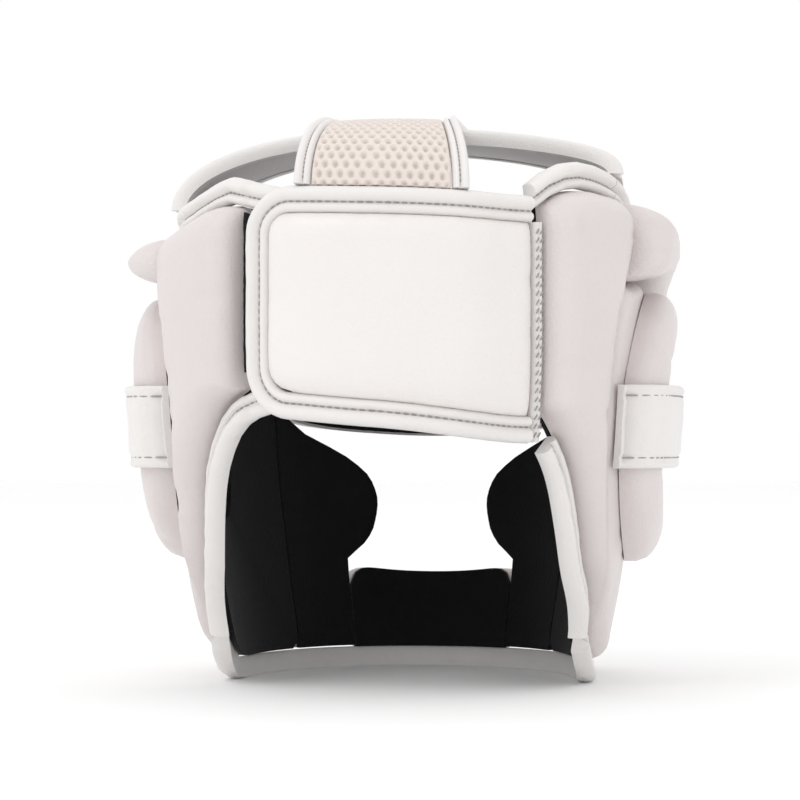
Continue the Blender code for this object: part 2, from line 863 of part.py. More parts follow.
def crown_strip(name, material, y_low, y_high, thick):
    turns = [math.pi * i / CROWN_STEPS for i in range(CROWN_STEPS + 1)]
    edge = 0.0015
    across = [y_low, y_low + edge, mix(y_low, y_high, 0.5), y_high - edge, y_high]
    tall = [thick * 0.6, thick, thick, thick, thick * 0.6]
    inner = [[crown_point(turn, y, 0.0) for y in across] for turn in turns]
    outer = [[crown_point(turn, y, up) for y, up in zip(across, tall)] for turn in turns]
    add_slab(name, material, inner, outer)


def build_crown(white):
    half = CROWN_WIDTH / 2
    crown_strip("crown_band", white, -half, half, CROWN_THICK)
    crown_strip("crown_binding_rear", white, -half - GAP - CROWN_BINDING_WIDTH, -half - GAP, CROWN_THICK)
    crown_strip("crown_binding_front", white, half + GAP, half + GAP + CROWN_BINDING_WIDTH, CROWN_THICK)


def strap_point(side, run):
    """A point of the crown strap's inner face: side from the middle, in widths, and run from 0 to 1."""
    left, right = crown_ends()
    low_side = STRAP_MIDDLE + side * STRAP_WIDTH_LOW
    top_side = side * STRAP_WIDTH_TOP
    along = -HALF_GIRTH - low_side
    start = wall(along, flap_high(along) + GAP, flap_base(along) + BINDING_THICK / 2 - STRAP_THICK / 2)
    turn = math.acos(top_side / ((left + right) / 2))
    rear = -CROWN_WIDTH / 2 - CROWN_BINDING_WIDTH - GAP
    front = CROWN_WIDTH / 2
    land = crown_point(turn, rear, CROWN_THICK + GAP)
    if run > STRAP_CLIMB:
        y = mix(rear, front, (run - STRAP_CLIMB) / (1 - STRAP_CLIMB))
        return crown_point(turn, y, CROWN_THICK + GAP)
    share = run / STRAP_CLIMB
    rise = land[2] - start[2]
    reach = land[1] - start[1]
    first = (start[0], start[1] + 0.05 * reach, start[2] + STRAP_LIFT * rise)
    second = (land[0], land[1] - STRAP_REACH * reach, land[2])
    rest = 1 - share
    weights = (rest ** 3, 3 * rest ** 2 * share, 3 * rest * share ** 2, share ** 3)
    return tuple(sum(weight * point[i] for weight, point in zip(weights, (start, first, second, land))) for i in range(3))


def strap_part(name, material, low_side, high_side, columns, thick):
    runs = [i / STRAP_STEPS for i in range(STRAP_STEPS + 1)]
    inner = []
    outer = []
    for i in range(columns + 1):
        side = mix(low_side, high_side, i / columns)
        inner_line = []
        outer_line = []
        for run in runs:
            here = strap_point(side, run)
            beside = strap_point(side + 0.01, run)
            low = strap_point(side, max(run - 0.01, 0.0))
            high = strap_point(side, min(run + 0.01, 1.0))
            across = [beside[k] - here[k] for k in range(3)]
            ahead = [high[k] - low[k] for k in range(3)]
            normal = (
                across[1] * ahead[2] - across[2] * ahead[1],
                across[2] * ahead[0] - across[0] * ahead[2],
                across[0] * ahead[1] - across[1] * ahead[0],
            )
            length = math.sqrt(sum(part * part for part in normal))
            inner_line.append(here)
            outer_line.append(tuple(here[k] + normal[k] / length * thick for k in range(3)))
        inner.append(inner_line)
        outer.append(outer_line)
    add_slab(name, material, inner, outer)


def build_strap(white, cream):
    edge = GAP * 1.4 / STRAP_WIDTH_LOW
    binding = STRAP_BINDING_WIDTH / STRAP_WIDTH_LOW
    strap_part("crown_strap", cream, -0.5, 0.5, 4, STRAP_THICK)
    strap_part("strap_binding_left", white, -0.5 - edge - binding, -0.5 - edge, 1, STRAP_THICK * 1.2)
    strap_part("strap_binding_right", white, 0.5 + edge, 0.5 + edge + binding, 1, STRAP_THICK * 1.2)


def centre_on_origin(whole):
    """Moves the whole so that its box is centred over the origin."""
    points = [vertex.co for part in whole.children for vertex in part.data.vertices]
    across = [point.x for point in points]
    ahead = [point.y for point in points]
    whole.location.x = -(min(across) + max(across)) / 2
    whole.location.y = -(min(ahead) + max(ahead)) / 2


def main():
    clear_scene()
    whole = bpy.data.objects.new("headgear", None)
    bpy.context.scene.collection.objects.link(whole)
    white = make_material("white_leather", WHITE, 0.45)
    cream = make_material("cream_mesh", CREAM, 0.8)
    black = make_material("black_cloth", BLACK, 0.9)
    build_brow(white, black)
    build_chin(white, black)
    for side_name, sign in (("left", -1), ("right", 1)):
        build_cheek(side_name, sign, white, black)
        build_ear(side_name, sign, white, black)
    build_rear("left", -1, HALF_GIRTH * (1 + UNDER_FLAP_LEFT), white, black)
    build_rear("right", 1, HALF_GIRTH * (1 - FLAP_SEAM) - SEAM_WIDTH, white, black)
    build_bindings(white)
    build_closure(white, black)
    build_crown(white)
    build_strap(white, cream)
    centre_on_origin(whole)


main()
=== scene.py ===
# Boxing headgear: the finished pieces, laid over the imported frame. Sizes are in metres.
import math

import bmesh
import bpy
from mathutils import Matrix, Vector, noise


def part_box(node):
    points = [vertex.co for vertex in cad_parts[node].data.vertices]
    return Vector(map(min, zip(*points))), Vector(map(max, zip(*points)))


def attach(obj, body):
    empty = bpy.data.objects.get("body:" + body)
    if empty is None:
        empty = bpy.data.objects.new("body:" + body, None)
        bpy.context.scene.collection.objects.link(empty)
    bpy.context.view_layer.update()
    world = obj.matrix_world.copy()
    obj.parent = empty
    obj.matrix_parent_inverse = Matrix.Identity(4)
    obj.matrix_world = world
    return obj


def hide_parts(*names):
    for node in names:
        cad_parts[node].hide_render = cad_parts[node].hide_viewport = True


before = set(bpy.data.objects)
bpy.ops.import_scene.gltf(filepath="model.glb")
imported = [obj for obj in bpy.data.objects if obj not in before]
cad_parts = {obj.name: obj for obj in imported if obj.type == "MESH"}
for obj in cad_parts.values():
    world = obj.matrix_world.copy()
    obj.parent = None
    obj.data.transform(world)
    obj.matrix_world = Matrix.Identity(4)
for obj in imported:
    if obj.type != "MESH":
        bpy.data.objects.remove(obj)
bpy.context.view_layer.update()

# The flat pattern that the frame was made from: the hollow for the head, and the height of the wall
HEAD_WIDTH = 0.180
HEAD_LENGTH = 0.193
WALL_HEIGHT = 0.221
CROWN_RISE = 0.0175

# Thicknesses
LINING_THICK = 0.002
BROW_THICK = 0.028
CHEEK_THICK = 0.028
CHIN_THICK = 0.025
REAR_THICK = 0.018
EAR_THICK = 0.012
GUARD_THICK = 0.014
EAR_BAND_THICK = 0.003
FLAP_THICK = 0.009
UNDER_FLAP_THICK = 0.004
LOOP_THICK = 0.0015
CROWN_THICK = 0.005
STRAP_THICK = 0.003
BINDING_THICK = 0.008

# Widths
BINDING_WIDTH = 0.0105
HEM_WIDTH = 0.009
SEAM_WIDTH = 0.006
CROWN_WIDTH = 0.046
CROWN_BINDING_WIDTH = 0.006
STRAP_BINDING_WIDTH = 0.0068
STRAP_WIDTH_LOW = 0.0555
STRAP_WIDTH_TOP = 0.042
GUARD_WIDTH = 0.028
EAR_BAND_WIDTH = 0.035
EAR_BAND_FOOT = 0.006
EAR_HOLE_WIDTH = 0.030
EAR_HOLE_HEIGHT = 0.056
LOOP_MARGIN = 0.008

# Rounding
FLAP_CORNER = 0.020
SOFT_EDGE = 0.005
PUFF = 0.014
PLAN_POWER = 0.92

# Clearances: between faces that rest on each other, between pads sewn side by side, and behind a pad
GAP = 0.0004
SEAM_GAP = 0.0011
LINING_GAP = 0.0008

# Spacing of the path points
FINE_STEP = 0.012
SETTLE_ROUNDS = 12

# The plan of the hollow, from the floor up. Height is a share of the wall height, width a share of half the
# head's width, front and back are shares of half its length.
PLAN = (
    # height, width, front, back
    (0.00, 0.80, 0.95, 0.78),
    (0.22, 0.88, 0.98, 0.88),
    (0.45, 0.96, 1.00, 0.96),
    (0.68, 0.99, 1.00, 1.01),
    (0.88, 0.99, 0.97, 1.01),
    (1.00, 0.95, 0.92, 0.98),
)

# The upper rim of the wall. Along is a share of the half girth, the heights are shares of the wall height.
RIM = (
    # along, left, right
    (0.00, 0.895, 0.895),
    (0.20, 0.895, 0.900),
    (0.36, 0.900, 0.930),
    (0.50, 0.915, 0.965),
    (0.59, 0.928, 0.990),
    (0.68, 0.940, 1.000),
    (0.73, 0.955, 0.990),
    (0.785, 0.970, 0.950),
    (0.83, 0.955, 0.930),
    (1.00, 0.920, 0.920),
)

# The lower rim, flat on the floor as far back as the ears.
HEM = (
    # along, height
    (0.00, 0.000),
    (0.46, 0.000),
    (0.52, 0.022),
    (0.57, 0.058),
    (0.62, 0.112),
    (1.00, 0.200),
)
HEM_END = 0.583

# The neck opening's edge, from the rear corner up to the flap.
NECK = (
    # height, along
    (0.10, 0.610),
    (0.145, 0.626),
    (0.225, 0.672),
    (0.315, 0.706),
    (0.415, 0.742),
    (0.475, 0.775),
    (0.505, 0.800),
    (0.525, 0.835),
)
NECK_END_RIGHT = 0.455

# The brow pad's lower edge, over the eyes and then up and over the ear.
BROW_EDGE = (
    # along, height
    (0.00, 0.486),
    (0.10, 0.492),
    (0.19, 0.504),
    (0.26, 0.530),
    (0.305, 0.610),
    (0.36, 0.715),
    (0.42, 0.780),
    (0.48, 0.795),
    (0.58, 0.780),
    (1.00, 0.780),
)

# Where the ear panel meets the rear panel.
EAR_BACK = (
    # height, along
    (0.00, 0.560),
    (0.12, 0.570),
    (0.25, 0.612),
    (0.40, 0.648),
    (0.52, 0.656),
    (0.65, 0.645),
    (0.78, 0.615),
    (0.90, 0.590),
    (1.00, 0.580),
)

# The cheek pad's front edge: the join with the chin bar, the round lobe, and the eye opening's lower lid.
LOBE = (
    # height, along
    (0.000, 0.150),
    (0.228, 0.150),
    (0.255, 0.120),
    (0.295, 0.097),
    (0.350, 0.088),
    (0.395, 0.098),
    (0.435, 0.130),
    (0.465, 0.172),
    (0.490, 0.215),
    (0.520, 0.262),
    (0.560, 0.270),
)

# The closure flap and what lies under it. Along is a share of the half girth from the middle of the back,
# minus to the left; heights are shares of the wall height.
FLAP_LEFT = -0.158
FLAP_SEAM = 0.215
UNDER_FLAP_LEFT = -0.185
UNDER_FLAP_RIGHT = 0.085
FLAP_EDGES = (
    # along, low, high
    (-0.185, 0.525, 0.945),
    (0.00, 0.505, 0.938),
    (0.215, 0.475, 0.928),
)
UNDER_FLAP_LOW = 0.540
LOOP_LOW = 0.605

EAR_MIDDLE = 0.467
EAR_FRONT = 0.283
GUARD_MIDDLE = 0.505
GUARD_HALF_WIDTH = 0.155
GUARD_HALF_HEIGHT = 0.265
EAR_HOLE_MIDDLE = 0.445
CHIN_TOP = 0.200
CHIN_DIP = 0.018
CHIN_CORNER = 0.050

# The crown strap: its middle on the flap, how strongly its side view bows, as shares of its rise and of its
# run, and the share of its length that climbs to the crown band.
STRAP_MIDDLE = 0.004
STRAP_LIFT = 0.75
STRAP_REACH = 0.55
STRAP_CLIMB = 0.72

# Half the way round the wall, measured a little outside the hollow, and the places along it of the closure.
GIRTH_OUT = 0.0143
HALF_GIRTH = math.pi * ((HEAD_WIDTH + HEAD_LENGTH) / 4 + GIRTH_OUT)
UNDER_FLAP_START = -HALF_GIRTH * (1 + UNDER_FLAP_LEFT)
UNDER_FLAP_END = -HALF_GIRTH * (1 + UNDER_FLAP_RIGHT)
FLAP_START = -HALF_GIRTH * (1 + FLAP_LEFT)
FLAP_END = -HALF_GIRTH * (1 + FLAP_SEAM)
PAD_BASE = LINING_THICK + LINING_GAP
LOOP_BASE = PAD_BASE + UNDER_FLAP_THICK + GAP
FLAP_BASE = LOOP_BASE + LOOP_THICK + GAP
UNDER_BINDING_THICK = FLAP_BASE - PAD_BASE - GAP
TURN_STEP = 0.03
# The tooth of a material, in metres
TOOTH = 0.00018

# The ear parts, in metres
EAR_ALONG = HALF_GIRTH * EAR_MIDDLE
GUARD_UP = WALL_HEIGHT * GUARD_MIDDLE
GUARD_HALF_ALONG = HALF_GIRTH * GUARD_HALF_WIDTH
GUARD_HALF_UP = WALL_HEIGHT * GUARD_HALF_HEIGHT
GUARD_BASE = PAD_BASE + EAR_THICK + GAP

# How finely the pieces are faceted: counts, lengths, and shares of the way over an edge or across a piece
EAR_SIDES = 112
EAR_TURNS = [2 * math.pi * place / EAR_SIDES for place in range(EAR_SIDES)]
GUARD_SIDES = 18
NECK_STEPS = 24
CORNER_STEPS = 12
SEAM_STEPS = 60
ARCH_STEPS = 72
BAND_SIDES = 64
MESH_SIDES = 116
MESH_STEPS = 250
STRAP_RUNS = 90
BINDING_STEP = 0.0022
ROLL_SHARES = (0.0, 0.03, 0.1, 0.22, 0.4, 0.65, 1.0)
PANEL_SHARES = (0.0, 0.004, 0.02, 0.045, 0.08, 0.13, 0.2, 0.3, 0.4, 0.5, 0.6, 0.7, 0.78, 0.85, 0.9, 0.94, 0.97,
                1.0)
BAND_SHARES = (0.0, 0.02, 0.06, 0.12, 0.2, 0.3, 0.4, 0.5, 0.6, 0.7, 0.8, 0.88, 0.94, 0.98, 1.0)
CROWN_SHARES = (0.0, 0.01, 0.03, 0.07, 0.15, 0.25, 0.38, 0.5, 0.62, 0.75, 0.85, 0.93, 0.97, 0.99, 1.0)

# Rounded edges: the longest roll as a share of a pad, the small roll, the ear panel's roll as a share, and
# how high each kind of piece stands at its very edge, as a share of its thickness
EDGE_LIMIT = 0.4
EDGE_ROLL = 0.002
PANEL_ROLL = 0.13
PAD_FOOT = 0.30
GUARD_FOOT = 0.35
BAND_FOOT = 0.45
CROWN_FOOT = 0.5
STRAP_FOOT = 0.6

# Uneven leather and cloth: pinches along the seams, wide swells, the nap, and the gathers under the right rim
PINCH_GAIN = 2.2
PINCH_POWER = 1.5
PINCH_PITCH = 0.007
PINCH_LENGTH = PINCH_PITCH * 5
PINCH_REACH = 0.010
SWELL_HEIGHT = 0.0010
SWELL_SPAN = 0.045
RING_PINCHES = 5
RING_SWELL = 0.0004
RING_SWELL_SPAN = 0.03
NAP_PITCH = 0.0021
GATHER_MIDDLE = 0.70
GATHER_SPREAD = 0.09
GATHER_REACH = 0.011
GATHER_PITCH = 0.0045
GATHER_SLANT = 0.012
GATHER_LENGTH = 0.02
GATHER_DEPTH = 0.0045
GATHER_DIP = 0.002

# Where binding paths turn: the break before a corner, and shares of the half girth at the neck's left corner
PATH_BREAK = 0.002
PATH_START = 0.010
NECK_TURN_LOW = 0.88
NECK_TURN_HIGH = 0.93

# A binding's section from its outer edge to its inner one: the outer roll, the sewn groove, the inner strip.
BINDING_SHAPE = (
    # side, up
    (-0.49, 0.00),
    (-0.53, 0.22),
    (-0.54, 0.48),
    (-0.49, 0.76),
    (-0.38, 0.95),
    (-0.25, 1.00),
    (-0.12, 0.96),
    (-0.02, 0.80),
    (0.05, 0.60),
    (0.09, 0.56),
    (0.13, 0.62),
    (0.20, 0.76),
    (0.29, 0.80),
    (0.40, 0.74),
    (0.49, 0.54),
    (0.52, 0.28),
    (0.50, 0.00),
)
GROOVE_SIDE = 0.09
GROOVE_UP = 0.58
CROWN_BINDING_THICK = CROWN_THICK * 1.25
CROWN_SINK = 0.0004
ROUGH_SHORT = 0.006
ROUGH_SMALL = 0.05
ROUGH_LONG = 0.02
ROUGH_WIDE = 0.04
STRAP_BINDING_SWELL = 1.7

# The ear band's sewn grooves
BAND_GROOVE = 0.0009
BAND_GROOVE_IN = 0.0045
BAND_GROOVE_WIDTH = 0.0008
BAND_STITCH_IN = 0.003
BAND_ROUND = 1.15
BAND_SWELL = 0.0005
BAND_SWELL_SPAN = 0.012

# Stitches: the ordinary row, and the slanting ones of the flap seam
STITCH_RING = 6
STITCH_SHAPE = ((-0.5, 0.25), (-0.38, 0.85), (0.0, 1.0), (0.38, 0.85), (0.5, 0.25))
STITCH_ARCH = 0.25
STITCH_PITCH = 0.0032
STITCH_SHARE = 0.68
STITCH_RADIUS = 0.00038
ROW_FIRST = 0.02
ROW_LAST = 0.98
CROWN_ROW = 0.30
SEAM_THICK = SOFT_EDGE * 1.3
SEAM_SHAPE = ((-0.5, 0.0), (-0.52, 0.45), (-0.42, 0.8), (-0.2, 0.95), (0.0, 0.86), (0.2, 0.95), (0.42, 0.8),
              (0.52, 0.45), (0.5, 0.0))
SEAM_ROWS = (-0.22, 0.24)
SLANT_HALF_WIDTH = 0.0008
SLANT_RISE = 0.0022
SLANT_RADIUS = 0.0004
SLANT_PITCH = 0.0036
LOOP_IN = 0.001

# The crown strap's mesh: the spacing, half size, spread and depth of its dimples
MESH_COLUMN = 0.0044
MESH_ROW = 0.0040
MESH_HALF_WIDTH = 0.00115
MESH_HALF_HEIGHT = 0.0015
MESH_SPREAD = 1.6
MESH_DEPTH = 0.0016

# The camera and the lamps
CAMERA_DISTANCE = 1.25
CAMERA_TURN = 7.5
CAMERA_HEIGHT = 0.106
CAMERA_ASIDE = 0.0035
CAMERA_AIM = 0.1236
LENS = 127.8
WORLD_LIGHT = 1.0
LAMP_TARGET = (0, 0, 0.1)
FLOOR_HALF = 6.0

CROWN_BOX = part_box("crown_band")
HEM_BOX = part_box("hem_binding")
SHIFT_X = (HEM_BOX[0][0] + HEM_BOX[1][0]) / 2
SHIFT_Y = (CROWN_BOX[0][1] + CROWN_BOX[1][1]) / 2


def read_table(table, value, column):
    """A smooth curve through a table's rows, by its first column."""
    if value <= table[0][0]:
        return table[0][column]
    if value >= table[-1][0]:
        return table[-1][column]
    row = 0
    while table[row + 1][0] < value:
        row += 1
    before = table[max(row - 1, 0)]
    start = table[row]
    end = table[row + 1]
    after = table[min(row + 2, len(table) - 1)]
    span = end[0] - start[0]
    share = (value - start[0]) / span
    slope_start = slope_between(before, start, end, column) * span
    slope_end = slope_between(start, end, after, column) * span
    square = share * share
    cube = square * share
    return (
        (2 * cube - 3 * square + 1) * start[column]
        + (cube - 2 * square + share) * slope_start
        + (3 * square - 2 * cube) * end[column]
        + (cube - square) * slope_end
    )


def slope_between(before, middle, after, column):
    """The slope at a row, flat at a high or low point so that the curve never overshoots."""
    rise_in = middle[column] - before[column]
    rise_out = after[column] - middle[column]
    if rise_in * rise_out <= 0:
        return 0.0
    slope_in = rise_in / (middle[0] - before[0])
    slope_out = rise_out / (after[0] - middle[0])
    return 2 * slope_in * slope_out / (slope_in + slope_out)


def mix(start, end, share):
    return start + (end - start) * share


def plan_point(turn, height):
    share = height / WALL_HEIGHT
    half_width = HEAD_WIDTH / 2 * read_table(PLAN, share, 1)
    side = math.sin(turn)
    ahead = math.cos(turn)
    depth_column = 2 if ahead > 0 else 3
    half_length = HEAD_LENGTH / 2 * read_table(PLAN, share, depth_column)
    x = half_width * math.copysign(abs(side) ** PLAN_POWER, side)
    y = half_length * math.copysign(abs(ahead) ** PLAN_POWER, ahead)
    return x, y


def wall(along, height, out):
    """The point that lies so far along the wall, so high, and so far out from the hollow."""
    turn = along / HALF_GIRTH * math.pi
    x, y = plan_point(turn, height)
    before = plan_point(turn - TURN_STEP, height)
    after = plan_point(turn + TURN_STEP, height)
    run_x = after[0] - before[0]
    run_y = after[1] - before[1]
    length = math.hypot(run_x, run_y)
    return (x - run_y / length * out, y + run_x / length * out, height)


def rim_height(along):
    column = 2 if along > 0 else 1
    return WALL_HEIGHT * read_table(RIM, abs(along) / HALF_GIRTH, column)


def hem_height(along):
    return WALL_HEIGHT * read_table(HEM, abs(along) / HALF_GIRTH, 1)


def brow_edge_height(along):
    return WALL_HEIGHT * read_table(BROW_EDGE, abs(along) / HALF_GIRTH, 1)


def neck_along(height):
    return HALF_GIRTH * read_table(NECK, height / WALL_HEIGHT, 1)


def offset_path(path, distance):
    """The path moved sideways, to its left as it is walked."""
    moved = []
    for place, (along, height) in enumerate(path):
        before = path[max(place - 1, 0)]
        after = path[min(place + 1, len(path) - 1)]
        run = (after[0] - before[0], after[1] - before[1])
        length = math.hypot(*run)
        moved.append((along - run[1] / length * distance, height + run[0] / length * distance))
    return moved


def neck_path(last):
    """The neck opening's edge from the rear corner up to a share of the wall height."""
    first = NECK[0][0]
    heights = [WALL_HEIGHT * mix(first, last, i / NECK_STEPS) for i in range(NECK_STEPS + 1)]
    return [(neck_along(height), height) for height in heights]


def neck_inner_along(height):
    """Where the panels end beside the neck binding."""
    inner = offset_path(neck_path(NECK[-1][0]), BINDING_WIDTH + 2 * SEAM_GAP)
    for start, end in zip(inner, inner[1:]):
        if start[1] <= height <= end[1]:
            return mix(start[0], end[0], (height - start[1]) / (end[1] - start[1]))
    return inner[0][0] if height < inner[0][1] else HALF_GIRTH


def ear_back_along(height):
    return HALF_GIRTH * read_table(EAR_BACK, height / WALL_HEIGHT, 1)


def lobe_along(height):
    return HALF_GIRTH * read_table(LOBE, height / WALL_HEIGHT, 1)


def flap_low(along):
    return WALL_HEIGHT * read_table(FLAP_EDGES, from_back(along) / HALF_GIRTH, 1)


def flap_high(along):
    return WALL_HEIGHT * read_table(FLAP_EDGES, from_back(along) / HALF_GIRTH, 2)


def from_back(along):
    """The way along the wall measured from the middle of the back, minus to the left."""
    return HALF_GIRTH - along if along > 0 else -HALF_GIRTH - along


def roll(distance, edge):
    """How far a rounded edge has risen at a distance from it, from 0 to 1."""
    share = min(max(distance / edge, 0.0), 1.0)
    return math.sqrt(1 - (1 - share) ** 2)


def settle(front, back, low, high, u, v):
    """The place that lies a share of the way between both pairs of edges."""
    up = mix(low(0.5 * HALF_GIRTH), high(0.5 * HALF_GIRTH), v)
    along = mix(front(up), back(up), u)
    for _ in range(SETTLE_ROUNDS):
        up = mix(low(along), high(along), v)
        along = mix(front(up), back(up), u)
    return along, mix(low(along), high(along), v)


def even_path(path, step):
    """The path's points spaced out evenly."""
    lengths = [0.0]
    for start, end in zip(path, path[1:]):
        lengths.append(lengths[-1] + math.dist(start, end))
    count = max(2, round(lengths[-1] / step))
    even = []
    place = 0
    for i in range(count + 1):
        target = lengths[-1] * i / count
        while place < len(path) - 2 and lengths[place + 1] < target:
            place += 1
        share = (target - lengths[place]) / (lengths[place + 1] - lengths[place])
        start, end = path[place:place + 2]
        even.append((mix(start[0], end[0], share), mix(start[1], end[1], share)))
    return even


def ear_outline(sign):
    """The ear panel's outline as seen from its middle: the angle and the reach of each point."""
    centre = (HALF_GIRTH * EAR_MIDDLE, WALL_HEIGHT * GUARD_MIDDLE)

    def inside(along, height):
        return (
            HALF_GIRTH * EAR_FRONT + SEAM_GAP / 2 < along < ear_back_along(height) - SEAM_GAP / 2
            and over_hem(along) < height < under_brow(along)
        )

    points = []
    for turn in EAR_TURNS:
        reach = 0.0
        jump = HALF_GIRTH
        while jump > 1e-6:
            tried = (centre[0] + math.cos(turn) * (reach + jump), centre[1] + math.sin(turn) * (reach + jump))
            if inside(*tried):
                reach += jump
            else:
                jump /= 2
        points.append((sign * (centre[0] + math.cos(turn) * reach), centre[1] + math.sin(turn) * reach))
    return points


def oval(sign, middle_along, middle_height, half_along, half_height):
    points = []
    for turn in EAR_TURNS:
        along = sign * (middle_along + half_along * math.cos(turn))
        points.append((along, middle_height + half_height * math.sin(turn)))
    return points


def guard_rise(share):
    """The ear guard's height, as a share of its thickness, across its width."""
    return mix(GUARD_FOOT, 1, math.sqrt(max(0.0, 1 - (2 * share - 1) ** 2)))


def band_rise(place, half_along):
    """How far the ear band is lifted by the guard that it crosses, level over the guard's hollow."""
    inside = (half_along - abs(place)) / GUARD_WIDTH
    if inside < -0.03:
        return 0.0
    return guard_rise(min(max(inside, 0.0), 0.5))


def upright_path(first, last, height):
    """A path along the wall at a height that follows the place."""
    count = max(2, round(abs(last - first) / FINE_STEP))
    places = [mix(first, last, i / count) for i in range(count + 1)]
    return [(along, height(along)) for along in places]


def lay_on_wall(along):
    return PAD_BASE


def binding_thick(along):
    """A binding's height, kept low where the closure flap lies over it."""
    return UNDER_BINDING_THICK if along < UNDER_FLAP_START else BINDING_THICK


def flap_base(along):
    """The flap's inner face: over the under flap, and down to the wall at the seam."""
    share = (along - UNDER_FLAP_END + 0.004) / (FLAP_END - UNDER_FLAP_END + 0.012)
    share = min(max(share, 0.0), 1.0)
    ease = share * share * (3 - 2 * share)
    return mix(FLAP_BASE, PAD_BASE, ease)


def crown_ends():
    """The crown band's half width over the ears, from the middle of the bindings that carry it."""
    foot = PAD_BASE + BINDING_THICK / 2 - CROWN_THICK / 2
    right = wall(HALF_GIRTH / 2, rim_height(HALF_GIRTH / 2), foot)[0]
    left = -wall(-HALF_GIRTH / 2, rim_height(-HALF_GIRTH / 2), foot)[0]
    return left, right


def crown_point(turn, y, out):
    """A point of the arch over the head, from over the right ear at no turn to over the left one."""
    left, right = crown_ends()
    half_width = right if turn < math.pi / 2 else left
    foot_right = rim_height(HALF_GIRTH / 2 - y) + GAP
    foot_left = rim_height(-HALF_GIRTH / 2 + y) + GAP
    share = (1 - math.cos(turn)) / 2
    foot = mix(foot_right, foot_left, share)
    rise = WALL_HEIGHT + CROWN_RISE - CROWN_THICK - foot
    x = half_width * math.cos(turn)
    z = foot + rise * math.sin(turn)
    slope = (math.cos(turn) / half_width, math.sin(turn) / rise)
    length = math.hypot(*slope)
    return (x + slope[0] / length * out, y, z + slope[1] / length * out)


def strap_point(side, run):
    """A point of the crown strap's inner face: side from the middle, in widths, and run from 0 to 1."""
    left, right = crown_ends()
    low_side = STRAP_MIDDLE + side * STRAP_WIDTH_LOW
    top_side = side * STRAP_WIDTH_TOP
    along = -HALF_GIRTH - low_side
    start = wall(along, flap_high(along) + GAP, flap_base(along) + BINDING_THICK / 2 - STRAP_THICK / 2)
    turn = math.acos(top_side / ((left + right) / 2))
    rear = -CROWN_WIDTH / 2 - CROWN_BINDING_WIDTH - GAP
    front = CROWN_WIDTH / 2
    land = crown_point(turn, rear, CROWN_THICK + GAP)
    if run > STRAP_CLIMB:
        y = mix(rear, front, (run - STRAP_CLIMB) / (1 - STRAP_CLIMB))
        return crown_point(turn, y, CROWN_THICK + GAP)
    share = run / STRAP_CLIMB
    rise = land[2] - start[2]
    reach = land[1] - start[1]
    first = (start[0], start[1] + 0.05 * reach, start[2] + STRAP_LIFT * rise)
    second = (land[0], land[1] - STRAP_REACH * reach, land[2])
    rest = 1 - share
    weights = (rest ** 3, 3 * rest ** 2 * share, 3 * rest * share ** 2, share ** 3)
    bend = list(zip(weights, (start, first, second, land)))
    return tuple(sum(weight * point[i] for weight, point in bend) for i in range(3))


def ripple(*place):
    """Smooth noise at a place, from about -1 to 1."""
    return noise.noise(Vector(place))


def soft_grid(length, edge, step):
    """Places from 0 to 1, close together at both ends, where a pad rolls over its edge."""
    edge = min(edge, length * EDGE_LIMIT)
    rolls = [edge / length * share for share in ROLL_SHARES]
    count = max(2, round((length - 2 * edge) / step))
    middle = [mix(rolls[-1], 1 - rolls[-1], i / count) for i in range(1, count)]
    return rolls + middle + [1 - place for place in reversed(rolls)]


def add_mesh(name, points, faces, material, smooth):
    """A piece on the root body, with edges sharper than the angle smooth left sharp."""
    mesh = bpy.data.meshes.new(name)
    mesh.from_pydata([(x + SHIFT_X, y + SHIFT_Y, z) for x, y, z in points], [], faces)
    mesh.materials.append(material)
    shape = bmesh.new()
    shape.from_mesh(mesh)
    bmesh.ops.recalc_face_normals(shape, faces=shape.faces)
    shape.to_mesh(mesh)
    shape.free()
    mesh.shade_smooth()
    mesh.set_sharp_from_angle(angle=math.radians(smooth))
    piece = bpy.data.objects.new(name, mesh)
    bpy.context.scene.collection.objects.link(piece)
    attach(piece, "root")
    return piece


def slab(name, grid, material, smooth=50):
    """A closed piece between two layers, from a grid of pairs of points."""
    columns = len(grid)
    rows = len(grid[0])
    points = [pair[layer] for layer in (0, 1) for line in grid for pair in line]
    count = columns * rows
    faces = []
    for i in range(columns - 1):
        for j in range(rows - 1):
            corner = i * rows + j
            quad = (corner, corner + 1, corner + rows + 1, corner + rows)
            faces.append(quad)
            faces.append(tuple(count + place for place in reversed(quad)))
    border = [i * rows for i in range(columns)]
    border += [(columns - 1) * rows + j for j in range(1, rows)]
    border += [i * rows + rows - 1 for i in range(columns - 2, -1, -1)]
    border += list(range(rows - 2, 0, -1))
    for place, start in enumerate(border):
        end = border[(place + 1) % len(border)]
        faces.append((start, end, count + end, count + start))
    return add_mesh(name, points, faces, material, smooth)


def tube(name, sections, material, closed=False):
    """A closed piece through sections of equal size, either a ring or with both ends capped."""
    size = len(sections[0])
    points = [point for section in sections for point in section]
    faces = []
    count = len(sections)
    for i in range(count if closed else count - 1):
        following = (i + 1) % count
        for j in range(size):
            beside = (j + 1) % size
            faces.append((i * size + j, i * size + beside, following * size + beside, following * size + j))
    if not closed:
        faces.append(tuple(range(size)))
        faces.append(tuple((count - 1) * size + j for j in reversed(range(size))))
    return add_mesh(name, points, faces, material, 60)


def dress(piece, node):
    """Hides the node that a padded piece takes the place of."""
    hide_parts(node)


def sewn(node, sections):
    dress(tube(f"{node}_sewn", sections, BINDING), node)


def dress_sheet(piece, node):
    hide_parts(node)


def pinch(value):
    """The peaks of a noise value alone, sharpened."""
    return max(0.0, value * PINCH_GAIN) ** PINCH_POWER


